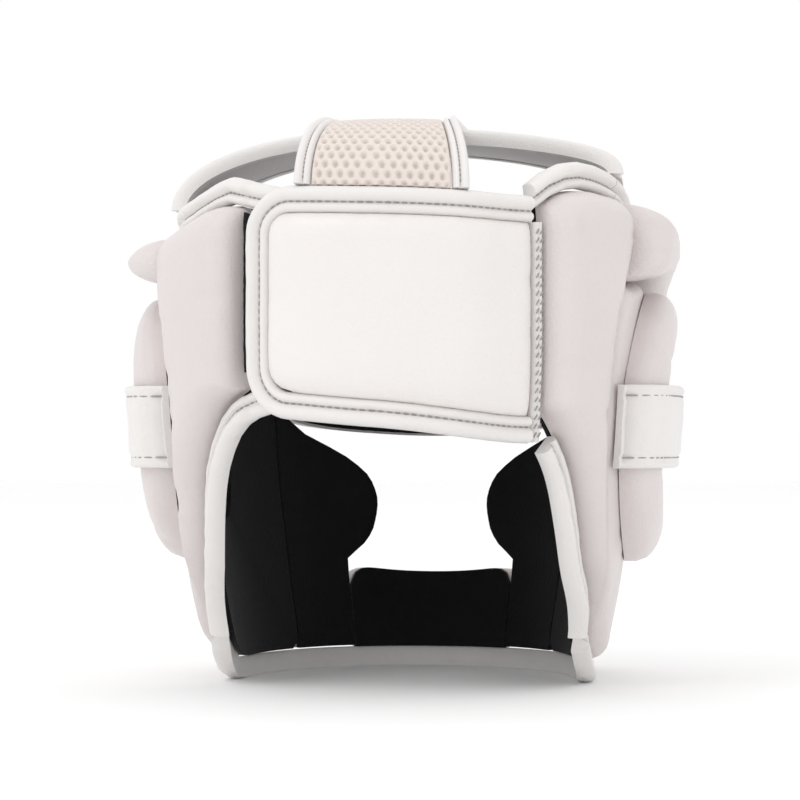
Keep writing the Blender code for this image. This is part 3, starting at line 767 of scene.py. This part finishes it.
def crumple(along, up, from_end, from_edge, seed, depth):
    """The leather's own unevenness: soft swells, and pinches that run in from the sewn edges."""
    by_edge = pinch(ripple(along / PINCH_PITCH, up / PINCH_LENGTH, seed))
    by_end = pinch(ripple(along / PINCH_LENGTH, up / PINCH_PITCH, seed + 7))
    pinches = math.exp(-from_edge / PINCH_REACH) * by_edge + math.exp(-from_end / PINCH_REACH) * by_end
    return SWELL_HEIGHT * ripple(along / SWELL_SPAN, up / SWELL_SPAN, seed + 3) - depth * pinches


def spread(front, back, low, high, up):
    """A piece's length along the wall at a height, and its height in the middle of that length."""
    centre = (back(up) + front(up)) / 2
    return abs(back(up) - front(up)), high(centre) - low(centre)


def pad(node, material, front, back, low, high, base, thick, seed, edge=PUFF, step=0.003, depth=0.0012,
        extra=None, fill=0.8):
    """A puffed pad between four edges of the flat pattern. Depth is that of the pinches along its seams."""
    middle = mix(low((front(WALL_HEIGHT / 2) + back(WALL_HEIGHT / 2)) / 2), WALL_HEIGHT / 2, 0.5)
    length, tall = spread(front, back, low, high, middle)
    upward = soft_grid(tall, edge, step)

    def layers(u, v):
        along, up = settle(front, back, low, high, u, v)
        from_end = min(u, 1 - u) * abs(back(up) - front(up))
        from_edge = min(v, 1 - v) * (high(along) - low(along))
        rise = roll(from_end, edge) * roll(from_edge, edge)
        out = mix(thick * PAD_FOOT * roll(min(from_end, from_edge), EDGE_ROLL), thick, rise)
        out += crumple(along, up, from_end, from_edge, seed, depth) * rise
        if extra:
            out += extra(along, up, high(along) - up) * rise
        return wall(along, up, base(along)), wall(along, up, base(along) + out)

    grid = [[layers(u, v) for v in upward] for u in soft_grid(length, edge, step)]
    dress(slab(f"{node}_soft", grid, material), node)


def cloth(node, material, finish, under, front, back, low, high, base, thick, step, nap):
    """A thin backed cloth on the wall, between four edges of the flat pattern."""
    length, tall = spread(front, back, low, high, WALL_HEIGHT / 2)
    count_along = max(2, round(length / step))
    count_up = max(2, round(tall / step))

    def layers(along, up):
        rough = nap * ripple(along / NAP_PITCH, up / NAP_PITCH, base * 1000)
        return wall(along, up, base - rough), wall(along, up, base + thick + rough)

    edges = (front, back, low, high)
    rows = [j / count_up for j in range(count_up + 1)]
    flat = [[settle(*edges, i / count_along, v) for v in rows] for i in range(count_along + 1)]
    grid = [[layers(*place) for place in line] for line in flat]
    dress_sheet(slab(f"{node}_cloth", grid, material), node)


def lining(node, under, front, back, low, high):
    cloth(node, LINING, "lining", under, front, back, low, high, 0.0, LINING_THICK, step=0.004, nap=0.00012)


def stitch(group, start, end, lift, radius):
    """One stitch: a short rounded thread from start to end, on a surface whose outward way is lift."""
    points, faces = STITCHES.setdefault(group, ([], []))
    ahead = Vector(end) - Vector(start)
    length = ahead.length
    ahead.normalize()
    side = ahead.cross(Vector(lift)).normalized()
    up = side.cross(ahead)
    centre = (Vector(start) + Vector(end)) / 2
    first = len(points)
    for share, fat in STITCH_SHAPE:
        for k in range(STITCH_RING):
            turn = 2 * math.pi * k / STITCH_RING
            arch = up * (0.25 - share * share) * length * STITCH_ARCH
            place = centre + ahead * share * length + arch
            place += (side * math.cos(turn) + up * math.sin(turn)) * radius * fat
            points.append(tuple(place))
    last = first + (len(STITCH_SHAPE) - 1) * STITCH_RING
    for a in range(first, last, STITCH_RING):
        for k in range(STITCH_RING):
            beside = (k + 1) % STITCH_RING
            faces.append((a + k, a + beside, a + STITCH_RING + beside, a + STITCH_RING + k))
    faces.append(tuple(first + k for k in range(STITCH_RING)))
    faces.append(tuple(last + k for k in reversed(range(STITCH_RING))))


def outward(along, up):
    return Vector(wall(along, up, 0.01)) - Vector(wall(along, up, 0.0))


def stitch_row(group, place_at, length):
    """Stitches along a line: place_at gives the point and the outward way at a length from 0 to 1."""
    count = max(1, round(length / STITCH_PITCH))
    for i in range(count):
        start, lift = place_at((i + 0.5 - STITCH_SHARE / 2) / count)
        end, _ = place_at((i + 0.5 + STITCH_SHARE / 2) / count)
        stitch(group, start, end, lift, STITCH_RADIUS)


def on_path(path, share):
    """The place a share of the way along an even path, with the way it runs there."""
    place = min(max(share, 0.0), 1.0) * (len(path) - 1)
    first = min(int(place), len(path) - 2)
    start = path[first]
    end = path[first + 1]
    run = (end[0] - start[0], end[1] - start[1])
    return mix(start[0], end[0], place - first), mix(start[1], end[1], place - first), run


def sideways(run, upright):
    """The way across a path: to its left, or straight up."""
    length = math.hypot(*run)
    return (0.0, 1.0) if upright else (-run[1] / length, run[0] / length)


def binding(node, path, width, base, thick, outer, seed, upright=False):
    """A two-lobed sewn binding along a path. Outer is +1 where its outer edge lies to the path's left."""
    even = even_path(path, BINDING_STEP)
    sections = []
    for place, (along, up) in enumerate(even):
        before = even[max(place - 1, 0)]
        after = even[min(place + 1, len(even) - 1)]
        across = sideways((after[0] - before[0], after[1] - before[1]), upright)
        travelled = place * BINDING_STEP
        section = []
        for side, rise in BINDING_SHAPE:
            rough = ripple(travelled / ROUGH_SHORT, side * 3, seed) * ROUGH_SMALL
            rough += ripple(travelled / ROUGH_LONG, side, seed + 5) * ROUGH_WIDE
            sway = -outer * side * width
            lift = base(along) + thick(along) * rise * (1 + rough * min(1.0, rise * 2))
            section.append(wall(along + across[0] * sway, up + across[1] * sway, lift))
        sections.append(section)
    sewn(node, sections)

    def place_at(share):
        along, up, run = on_path(even, share)
        across = sideways(run, upright)
        sway = -outer * GROOVE_SIDE * width
        spot = (along + across[0] * sway, up + across[1] * sway)
        return wall(*spot, base(along) + thick(along) * GROOVE_UP), outward(*spot)

    stitch_row("stitches_bindings", place_at, sum(math.dist(a, b) for a, b in zip(even, even[1:])))


def rim_middle(along):
    return rim_height(along) - BINDING_WIDTH / 2


def under_rim(along):
    return rim_height(along) - BINDING_WIDTH - SEAM_GAP


def over_hem(along):
    return hem_height(along) + HEM_WIDTH + SEAM_GAP


def under_brow(along):
    return brow_edge_height(along) - SEAM_GAP / 2


def make_bindings():
    brow_end = HALF_GIRTH * EAR_BACK[-1][1]
    brow = upright_path(-brow_end + GAP, brow_end - GAP, rim_middle)
    hem_end = HALF_GIRTH * HEM_END
    hem = upright_path(-hem_end, hem_end, lambda along: hem_height(along) + HEM_WIDTH / 2)
    left = upright_path(-brow_end - GAP, UNDER_FLAP_START, rim_middle)
    left += upright_path(UNDER_FLAP_START - PATH_BREAK, UNDER_FLAP_END, rim_middle)
    right = upright_path(brow_end + GAP, HALF_GIRTH * (1 - FLAP_SEAM), rim_middle)
    neck_right = offset_path(neck_path(NECK_END_RIGHT), BINDING_WIDTH / 2)
    edge = [(-along, height) for along, height in neck_path(NECK[-1][0])]
    edge.append((-HALF_GIRTH * NECK_TURN_LOW, WALL_HEIGHT * (UNDER_FLAP_LOW - 0.004)))
    edge += upright_path(-HALF_GIRTH * NECK_TURN_HIGH, UNDER_FLAP_END,
                         lambda along: WALL_HEIGHT * UNDER_FLAP_LOW)
    neck_left = even_path(offset_path(edge, -BINDING_WIDTH / 2), FINE_STEP * 0.8)
    for node, path, width, outer, seed, upright in (
        ("brow_binding", brow, BINDING_WIDTH, 1, 11, True),
        ("hem_binding", hem, HEM_WIDTH, -1, 12, True),
        ("top_binding_left", left, BINDING_WIDTH, 1, 13, True),
        ("top_binding_right", right, BINDING_WIDTH, 1, 14, True),
        ("neck_binding_right", neck_right, BINDING_WIDTH, -1, 15, False),
        ("neck_binding_left", neck_left, BINDING_WIDTH, 1, 16, False),
    ):
        binding(node, path, width, lay_on_wall, binding_thick, outer, seed, upright)


def lined_pad(node, lining_node, edges, thick, seed, **detail):
    pad(node, LEATHER, *edges, lay_on_wall, thick, seed, **detail)
    lining(lining_node, node, *edges)


def make_brow():
    def side(share):
        return lambda height: share * (ear_back_along(height) - SEAM_GAP / 2)

    def low(along):
        return brow_edge_height(along) + SEAM_GAP / 2

    pad("brow_pad", LEATHER, side(-1), side(1), low, under_rim, lay_on_wall, BROW_THICK, 21, edge=0.010,
        step=0.0035)
    lining("lining_brow", "brow_pad", side(-1), side(1), lambda along: low(along) + SEAM_GAP, under_rim)


def make_cheek(side, sign):
    def front(height):
        return sign * (lobe_along(height) + SEAM_GAP / 2)

    def back(height):
        return sign * (HALF_GIRTH * EAR_FRONT - SEAM_GAP / 2)

    edges = (front, back, over_hem, under_brow)
    lined_pad(f"cheek_pad_{side}", f"lining_cheek_{side}", edges, CHEEK_THICK, 23 + sign)


def make_chin():
    def side(sign):
        return lambda height: sign * (HALF_GIRTH * LOBE[0][1] - SEAM_GAP / 2)

    def low(along):
        return HEM_WIDTH + GAP

    def high(along):
        share = abs(along) / (HALF_GIRTH * LOBE[0][1])
        return WALL_HEIGHT * (CHIN_TOP + CHIN_DIP * share ** 2 - CHIN_CORNER * share ** 12)

    lined_pad("chin_bar", "lining_chin", (side(-1), side(1), low, high), CHIN_THICK, 26)


def make_rear(side, sign, last):
    def front(height):
        return sign * (ear_back_along(height) + SEAM_GAP / 2)

    def back(height):
        return sign * (min(last, neck_inner_along(height)) - GAP)

    lined_pad(f"rear_panel_{side}", f"lining_rear_{side}", (front, back, over_hem, under_rim), REAR_THICK,
              45 + sign, step=0.0025, depth=0.0014, extra=gathers if sign > 0 else None)


def gathers(along, up, from_top):
    """Folds under the top binding on the right, where the leather is drawn in."""
    strength = math.exp(-((along / HALF_GIRTH - GATHER_MIDDLE) / GATHER_SPREAD) ** 2)
    strength *= math.exp(-from_top / GATHER_REACH)
    folds = ripple(along / GATHER_PITCH + up / GATHER_SLANT, up / GATHER_LENGTH, 51)
    return -GATHER_DEPTH * strength * pinch(folds) - GATHER_DIP * strength


def ring_piece(name, material, outer_loop, inner_loop, base, profile, seed, depth):
    """A ring between two loops of the flat pattern. The profile gives shares of the way in, and heights."""
    sections = []
    for turn, start, end in zip(EAR_TURNS, outer_loop, inner_loop):
        section = []
        for share, height in profile:
            along = mix(start[0], end[0], share)
            up = mix(start[1], end[1], share)
            pinches = pinch(ripple(math.cos(turn) * RING_PINCHES, math.sin(turn) * RING_PINCHES, seed))
            rough = -depth * pinches * (0.4 + 0.6 * abs(2 * share - 1))
            rough += RING_SWELL * ripple(along / RING_SWELL_SPAN, up / RING_SWELL_SPAN, seed)
            section.append(wall(along, up, base + max(0.0, height + rough) if height > 0 else base))
        sections.append(section)
    return tube(name, sections, material, True)


def make_ear(side, sign):
    outline = ear_outline(sign)
    hole = oval(sign, EAR_ALONG, WALL_HEIGHT * EAR_HOLE_MIDDLE, EAR_HOLE_WIDTH / 2, EAR_HOLE_HEIGHT / 2)
    panel = [(0.0, 0.0)]
    for share in PANEL_SHARES:
        panel.append((share, EAR_THICK * mix(GUARD_FOOT, 1, roll(min(share, 1 - share), PANEL_ROLL))))
    panel += [(1.0, 0.0), (0.5, 0.0)]
    name = f"ear_base_{side}"
    piece = ring_piece(f"{name}_soft", LEATHER, outline, hole, PAD_BASE, panel, 31 + sign, 0.0008)
    dress(piece, name)
    sheet = [(0.0, 0.0)] + [(share, LINING_THICK) for share in (0.0, 0.3, 0.6, 1.0)] + [(1.0, 0.0), (0.5, 0.0)]
    piece = ring_piece(f"lining_ear_{side}_cloth", LINING, outline, hole, 0.0, sheet, 33 + sign, 0.0)
    dress_sheet(piece, f"lining_ear_{side}")

    outer = oval(sign, EAR_ALONG, GUARD_UP, GUARD_HALF_ALONG, GUARD_HALF_UP)
    inner = oval(sign, EAR_ALONG, GUARD_UP, GUARD_HALF_ALONG - GUARD_WIDTH, GUARD_HALF_UP - GUARD_WIDTH)
    arch = [(i / GUARD_SIDES, GUARD_THICK * guard_rise(i / GUARD_SIDES)) for i in range(GUARD_SIDES + 1)]
    profile = [(0.0, 0.0)] + arch + [(1.0, 0.0)]
    name = f"ear_guard_{side}"
    piece = ring_piece(f"{name}_soft", LEATHER, outer, inner, GUARD_BASE, profile, 35 + sign, 0.0009)
    dress(piece, name)
    make_ear_band(f"ear_band_{side}", sign)


def band_base(place):
    """The inner face of the ear band, over the guard that it crosses."""
    return GUARD_BASE + GUARD_THICK * band_rise(place, GUARD_HALF_ALONG) + 2 * GAP


def make_ear_band(name, sign):
    half_band = GUARD_HALF_ALONG + EAR_BAND_FOOT
    low = GUARD_UP - EAR_BAND_WIDTH / 2

    def layers(place, share):
        up = low + EAR_BAND_WIDTH * share
        edge = min(share, 1 - share) * EAR_BAND_WIDTH
        groove = BAND_GROOVE * math.exp(-((edge - BAND_GROOVE_IN) / BAND_GROOVE_WIDTH) ** 2)
        tall = EAR_BAND_THICK * mix(BAND_FOOT, 1, roll(edge, EDGE_ROLL)) - groove
        tall += BAND_SWELL * ripple(place / BAND_SWELL_SPAN, up / BAND_SWELL_SPAN, 41 + sign)
        along = sign * (EAR_ALONG + place)
        return wall(along, up, band_base(place)), wall(along, up, band_base(place) + tall)

    places = [mix(-half_band, half_band, i / BAND_SIDES) for i in range(BAND_SIDES + 1)]
    grid = [[layers(place, share) for share in BAND_SHARES] for place in places]
    dress(slab(f"{name}_soft", grid, BINDING), name)
    for edge in (BAND_GROOVE_IN, EAR_BAND_WIDTH - BAND_GROOVE_IN):
        def place_at(share):
            place = mix(-half_band + BAND_STITCH_IN, half_band - BAND_STITCH_IN, share)
            spot = (sign * (EAR_ALONG + place), low + edge)
            return wall(*spot, band_base(place) + EAR_BAND_THICK - BAND_GROOVE), outward(*spot)

        stitch_row("stitches_ears", place_at, 2 * half_band * BAND_ROUND)


def make_closure():
    def under_left(height):
        return UNDER_FLAP_START - GAP

    def under_right(height):
        return UNDER_FLAP_END

    def under_low(along):
        return WALL_HEIGHT * UNDER_FLAP_LOW + BINDING_WIDTH + GAP

    edges = (under_left, under_right, under_low, under_rim)
    pad("under_flap", FLAP, *edges, lay_on_wall, UNDER_FLAP_THICK, 53, edge=0.004, step=0.004, depth=0.0003,
        fill=0.2)
    lining("lining_back", "under_flap", *edges)
    edges = (lambda height: UNDER_FLAP_START - GAP - LOOP_IN, lambda height: UNDER_FLAP_END + LOOP_MARGIN,
             lambda along: WALL_HEIGHT * LOOP_LOW, lambda along: under_rim(along) - LOOP_IN)
    cloth("loop_patch", LOOP, "loop", "under_flap", *edges, LOOP_BASE, LOOP_THICK, step=0.0015, nap=0.0003)

    rim = BINDING_WIDTH - GAP
    corner = FLAP_CORNER - BINDING_WIDTH

    def flap_left(height):
        from_end = min(flap_high(FLAP_START) - height, height - flap_low(FLAP_START)) - rim
        from_end = min(max(from_end, 0.0), corner)
        return FLAP_START - rim - corner + math.sqrt(corner ** 2 - (corner - from_end) ** 2)

    pad("closure_flap", FLAP, flap_left, lambda height: FLAP_END + GAP, lambda along: flap_low(along) + rim,
        lambda along: flap_high(along) - rim, flap_base, FLAP_THICK, 55, edge=0.010, step=0.0025, depth=0.0009)

    half = BINDING_WIDTH / 2
    radius = FLAP_CORNER - half
    turn_along = FLAP_START - FLAP_CORNER
    low_middle = flap_low(turn_along) + FLAP_CORNER
    high_middle = flap_high(turn_along) - FLAP_CORNER
    turns = [math.pi / 2 * i / CORNER_STEPS for i in range(CORNER_STEPS + 1)]
    path = [(FLAP_END + GAP, flap_low(FLAP_END) + half)]
    path += upright_path(FLAP_END + PATH_START, turn_along - PATH_BREAK, lambda along: flap_low(along) + half)
    path += [(turn_along + radius * math.sin(turn), low_middle - radius * math.cos(turn)) for turn in turns]
    path += [(turn_along + radius * math.cos(turn), high_middle + radius * math.sin(turn)) for turn in turns]
    path += upright_path(turn_along - PATH_BREAK, FLAP_END + PATH_START, lambda along: flap_high(along) - half)
    path.append((FLAP_END + GAP, flap_high(FLAP_END) - half))
    binding("flap_binding", path, BINDING_WIDTH, flap_base, lambda along: BINDING_THICK, -1, 57)


def make_seam():
    """The sewn strip at the flap's right end, with two rows of slanting stitches."""
    middle = FLAP_END - SEAM_WIDTH / 2
    bottom = flap_low(FLAP_END)
    top = flap_high(FLAP_END) - BINDING_WIDTH
    width = SEAM_WIDTH - 2 * GAP
    sections = []
    for i in range(SEAM_STEPS + 1):
        up = mix(bottom, top, i / SEAM_STEPS)
        puff = 1 + ROUGH_SMALL * ripple(up / SOFT_EDGE, 0, 61)
        section = [(middle + side * width, PAD_BASE + SEAM_THICK * rise * puff) for side, rise in SEAM_SHAPE]
        sections.append([wall(along, up, out) for along, out in section])
    sewn("flap_seam", sections)
    lift = PAD_BASE + SEAM_THICK * 0.95
    for side in SEAM_ROWS:
        place = middle + side * width
        up = bottom + 0.002
        while up < top - 0.003:
            start = wall(place - SLANT_HALF_WIDTH, up + SLANT_RISE, lift)
            end = wall(place + SLANT_HALF_WIDTH, up, lift)
            stitch("stitches_seam", start, end, outward(place, up), SLANT_RADIUS)
            up += SLANT_PITCH


def make_crown():
    turns = [math.pi * i / ARCH_STEPS for i in range(ARCH_STEPS + 1)]
    half = CROWN_WIDTH / 2

    def layers(turn, share):
        tall = CROWN_THICK * mix(CROWN_FOOT, 1, roll(min(share, 1 - share) * CROWN_WIDTH, 2 * EDGE_ROLL))
        tall += BAND_SWELL * ripple(turn * 5, share * 3, 63)
        y = mix(-half, half, share)
        return crown_point(turn, y, 0.0), crown_point(turn, y, tall)

    grid = [[layers(turn, share) for share in CROWN_SHARES] for turn in turns]
    dress(slab("crown_band_soft", grid, LEATHER), "crown_band")
    for name, sign in (("crown_binding_rear", -1), ("crown_binding_front", 1)):
        make_crown_binding(name, turns, sign * (half + GAP), sign * (half + GAP + CROWN_BINDING_WIDTH))


def make_crown_binding(node, turns, near, far):
    sections = []
    for turn in turns:
        section = []
        for side, rise in BINDING_SHAPE:
            out = CROWN_BINDING_THICK * rise - CROWN_SINK * (rise == 0)
            section.append(crown_point(turn, mix(far, near, side + 0.5), out))
        sections.append(section)
    sewn(node, sections)

    def place_at(share):
        turn = math.pi * mix(ROW_FIRST, ROW_LAST, share)
        y = mix(far, near, GROOVE_SIDE + 0.5)
        point = crown_point(turn, y, CROWN_BINDING_THICK * GROOVE_UP)
        return point, Vector(crown_point(turn, y, 0.02)) - Vector(point)

    stitch_row("stitches_crown", place_at, CROWN_ROW)


def strap_grid(first, last, columns, rows):
    sides = [mix(first, last, i / columns) for i in range(columns + 1)]
    return [[Vector(strap_point(side, j / rows)) for j in range(rows + 1)] for side in sides]


def grid_normals(grid):
    last_column = len(grid) - 1
    last_row = len(grid[0]) - 1
    normals = []
    for i in range(last_column + 1):
        line = []
        for j in range(last_row + 1):
            across = grid[min(i + 1, last_column)][j] - grid[max(i - 1, 0)][j]
            ahead = grid[i][min(j + 1, last_row)] - grid[i][max(j - 1, 0)]
            line.append(across.cross(ahead).normalized())
        normals.append(line)
    return normals


def dimple(a, b):
    """How deep a dimple is at a place on the strap's mesh, from 0 to 1: staggered ovals."""
    row = round(b / MESH_ROW)
    best = 0.0
    for r in (row - 1, row, row + 1):
        shift = 0.5 * (r % 2)
        column = round(a / MESH_COLUMN - shift)
        for c in (column - 1, column, column + 1):
            across = (a - (c + shift) * MESH_COLUMN) / MESH_HALF_WIDTH
            up = (b - r * MESH_ROW) / MESH_HALF_HEIGHT
            best = max(best, 1 - (across * across + up * up) / MESH_SPREAD)
    return best * best * (3 - 2 * best)


def make_strap():
    grid = strap_grid(-0.5, 0.5, MESH_SIDES, MESH_STEPS)
    normals = grid_normals(grid)
    middle = grid[MESH_SIDES // 2]
    length = sum((end - start).length for start, end in zip(middle, middle[1:]))
    pairs = []
    for i, line in enumerate(grid):
        a = (i / MESH_SIDES - 0.5) * STRAP_WIDTH_LOW
        edge = STRAP_WIDTH_LOW / 2 - abs(a)
        pairs.append([])
        travelled = 0.0
        for j, point in enumerate(line):
            if j:
                travelled += (point - line[j - 1]).length
            tall = STRAP_THICK * mix(STRAP_FOOT, 1, roll(edge, EDGE_ROLL))
            tall -= MESH_DEPTH * dimple(a, travelled) * min(1.0, edge / EDGE_ROLL)
            pairs[i].append((point, point + normals[i][j] * tall))
    piece = slab("crown_strap_mesh", pairs, MESH, 180)
    dress_sheet(piece, "crown_strap")
    near = 0.5 + GAP * 1.4 / STRAP_WIDTH_LOW
    far = near + STRAP_BINDING_WIDTH / STRAP_WIDTH_LOW
    make_strap_binding("strap_binding_left", -far, -near, 1, length)
    make_strap_binding("strap_binding_right", near, far, -1, length)


def make_strap_binding(node, first, last, side_sign, length):
    """A binding along the strap, with its outer roll away from the strap."""
    lift = grid_normals(strap_grid(first, last, 1, STRAP_RUNS))[0]
    sections = []
    for j, out in enumerate(lift):
        section = []
        for side, rise in BINDING_SHAPE:
            point = Vector(strap_point(mix(first, last, side_sign * side + 0.5), j / STRAP_RUNS))
            section.append(tuple(point + out * STRAP_THICK * STRAP_BINDING_SWELL * rise))
        sections.append(section)
    sewn(node, sections)

    def place_at(share):
        run = mix(ROW_FIRST, ROW_LAST, share) * STRAP_RUNS
        out = lift[min(int(run), STRAP_RUNS - 1)]
        groove = mix(first, last, 0.5 + side_sign * GROOVE_SIDE)
        point = Vector(strap_point(groove, run / STRAP_RUNS))
        return tuple(point + out * STRAP_THICK * STRAP_BINDING_SWELL * GROOVE_UP), out

    stitch_row("stitches_strap", place_at, length)


def make_stitches():
    for group, (points, faces) in STITCHES.items():
        add_mesh(group, points, faces, THREAD, 180)


def node_of(tree, kind, **values):
    made = tree.nodes.new(kind)
    for key, value in values.items():
        if key in made.inputs:
            made.inputs[key].default_value = value
        else:
            setattr(made, key, value)
    return made


def surface(name, colour, dark, roughness, grain, bump, wrinkle=0.0, sheen=0.0, specular=0.5):
    """A soft good's material: two tones in patches, painted shade darkening the creases, a grain of cells and
    a fine tooth.
    """
    material = bpy.data.materials.new(name)
    material.use_nodes = True
    tree = material.node_tree
    link = tree.links.new
    shader = tree.nodes["Principled BSDF"]
    shader.inputs["Specular IOR Level"].default_value = specular
    shader.inputs["Sheen Weight"].default_value = sheen
    place = node_of(tree, "ShaderNodeTexCoord").outputs["Object"]

    patches = node_of(tree, "ShaderNodeTexNoise", Scale=22.0, Detail=3.0)
    link(place, patches.inputs["Vector"])
    tones = node_of(tree, "ShaderNodeMix", data_type="RGBA")
    link(patches.outputs["Fac"], tones.inputs[0])
    tones.inputs[6].default_value = (*colour, 1)
    tones.inputs[7].default_value = (*dark, 1)
    # Painted shade: the base colour is darkened where pointiness is low, in creases, grooves and gaps where
    # shade falls.
    crease_shade_ramp = node_of(tree, "ShaderNodeValToRGB")
    crease_shade_stop, plain = crease_shade_ramp.color_ramp.elements
    crease_shade_stop.position = 0.40
    crease_shade_stop.color = (0.55, 0.52, 0.50, 1)
    plain.position = 0.49
    plain.color = (1, 1, 1, 1)
    link(node_of(tree, "ShaderNodeNewGeometry").outputs["Pointiness"], crease_shade_ramp.inputs["Fac"])
    shade = node_of(tree, "ShaderNodeMix", data_type="RGBA", blend_type="MULTIPLY")
    shade.inputs[0].default_value = 0.6
    link(tones.outputs[2], shade.inputs[6])
    link(crease_shade_ramp.outputs["Color"], shade.inputs[7])
    link(shade.outputs[2], shader.inputs["Base Color"])
    rough = node_of(tree, "ShaderNodeMapRange")
    rough.inputs["To Min"].default_value = roughness - 0.06
    rough.inputs["To Max"].default_value = roughness + 0.08
    link(patches.outputs["Fac"], rough.inputs["Value"])
    link(rough.outputs["Result"], shader.inputs["Roughness"])

    cells = node_of(tree, "ShaderNodeTexVoronoi", feature="SMOOTH_F1", Scale=1 / grain)
    link(place, cells.inputs["Vector"])
    tooth = node_of(tree, "ShaderNodeTexNoise", Scale=1 / TOOTH / 4, Detail=4.0)
    link(place, tooth.inputs["Vector"])
    both = node_of(tree, "ShaderNodeMath", operation="MULTIPLY_ADD")
    link(tooth.outputs["Fac"], both.inputs[0])
    both.inputs[1].default_value = 0.5
    link(cells.outputs["Distance"], both.inputs[2])
    relief = node_of(tree, "ShaderNodeBump", Strength=bump, Distance=0.0004)
    link(both.outputs["Value"], relief.inputs["Height"])
    if wrinkle:
        wrinkles = node_of(tree, "ShaderNodeTexNoise", Scale=170.0, Detail=2.0, Distortion=0.8)
        link(place, wrinkles.inputs["Vector"])
        second = node_of(tree, "ShaderNodeBump", Strength=wrinkle, Distance=0.0012)
        link(wrinkles.outputs["Fac"], second.inputs["Height"])
        link(relief.outputs["Normal"], second.inputs["Normal"])
        relief = second
    link(relief.outputs["Normal"], shader.inputs["Normal"])
    return material


def make_stage():
    mesh = bpy.data.meshes.new("floor")
    corners = [(x * FLOOR_HALF, y * FLOOR_HALF, 0) for x, y in ((-1, -1), (1, -1), (1, 1), (-1, 1))]
    mesh.from_pydata(corners, [], [(0, 1, 2, 3)])
    floor = bpy.data.objects.new("floor", mesh)
    bpy.context.scene.collection.objects.link(floor)
    paper = bpy.data.materials.new("paper")
    paper.use_nodes = True
    shader = paper.node_tree.nodes["Principled BSDF"]
    shader.inputs["Base Color"].default_value = (0.985, 0.985, 0.985, 1)
    shader.inputs["Roughness"].default_value = 0.7
    shader.inputs["Specular IOR Level"].default_value = 0.1
    mesh.materials.append(paper)
    world = bpy.data.worlds.new("studio")
    world.use_nodes = True
    sky = world.node_tree.nodes["Background"]
    sky.inputs["Color"].default_value = (1.0, 1.0, 1.0, 1)
    sky.inputs["Strength"].default_value = WORLD_LIGHT
    bpy.context.scene.world = world
    bpy.context.scene.view_settings.view_transform = "Standard"


def lamp(name, place, size, power):
    data = bpy.data.lights.new(name, "AREA")
    data.shape = "DISK"
    data.size = size
    data.energy = power
    light = bpy.data.objects.new(name, data)
    light.location = place
    light.rotation_euler = (Vector(LAMP_TARGET) - Vector(place)).to_track_quat("-Z", "Y").to_euler()
    bpy.context.scene.collection.objects.link(light)


def make_camera():
    data = bpy.data.cameras.new("camera")
    data.lens = LENS
    camera = bpy.data.objects.new("camera", data)
    turn = math.radians(CAMERA_TURN)
    spot = Vector((CAMERA_DISTANCE * math.sin(turn), -CAMERA_DISTANCE * math.cos(turn), CAMERA_HEIGHT))
    right = Vector((math.cos(turn), math.sin(turn), 0))
    aim = -right * CAMERA_ASIDE + Vector((0, 0, CAMERA_AIM))
    camera.location = spot
    camera.rotation_euler = (aim - spot).to_track_quat("-Z", "Y").to_euler()
    bpy.context.scene.collection.objects.link(camera)
    bpy.context.scene.camera = camera


LEATHER = surface("side_leather", (0.735, 0.680, 0.672), (0.68, 0.625, 0.612), 0.38, 0.0011, 0.35, 0.16)
FLAP = surface("flap_leather", (0.85, 0.82, 0.795), (0.81, 0.775, 0.75), 0.36, 0.0010, 0.28, 0.12)
BINDING = surface("binding_leather", (0.83, 0.805, 0.79), (0.77, 0.745, 0.73), 0.40, 0.0009, 0.30, 0.18)
MESH = surface("strap_mesh", (0.80, 0.725, 0.675), (0.74, 0.665, 0.615), 0.75, 0.0006, 0.5, 0, 0.2, 0.25)
LINING = surface("lining_cloth", (0.006, 0.006, 0.007), (0.003, 0.003, 0.004), 0.85, 0.0007, 0.6, 0, 0.08, 0.2)
LOOP = surface("loop_pile", (0.012, 0.012, 0.013), (0.006, 0.006, 0.006), 0.95, 0.0006, 1.0, 0, 0.1, 0.1)
THREAD = surface("thread", (0.42, 0.40, 0.39), (0.34, 0.32, 0.31), 0.6, 0.0003, 0.5)
STITCHES = {}

make_brow()
make_chin()
for SIDE, SIGN in (("left", -1), ("right", 1)):
    make_cheek(SIDE, SIGN)
    make_ear(SIDE, SIGN)
make_rear("left", -1, HALF_GIRTH * (1 + UNDER_FLAP_LEFT))
make_rear("right", 1, HALF_GIRTH * (1 - FLAP_SEAM) - SEAM_WIDTH)
make_bindings()
make_closure()
make_seam()
make_crown()
make_strap()
make_stitches()
make_stage()
lamp("key", (-0.9, -1.3, 1.9), 1.2, 7)
lamp("top", (0, 0.3, 2.2), 1.8, 3)
make_camera()
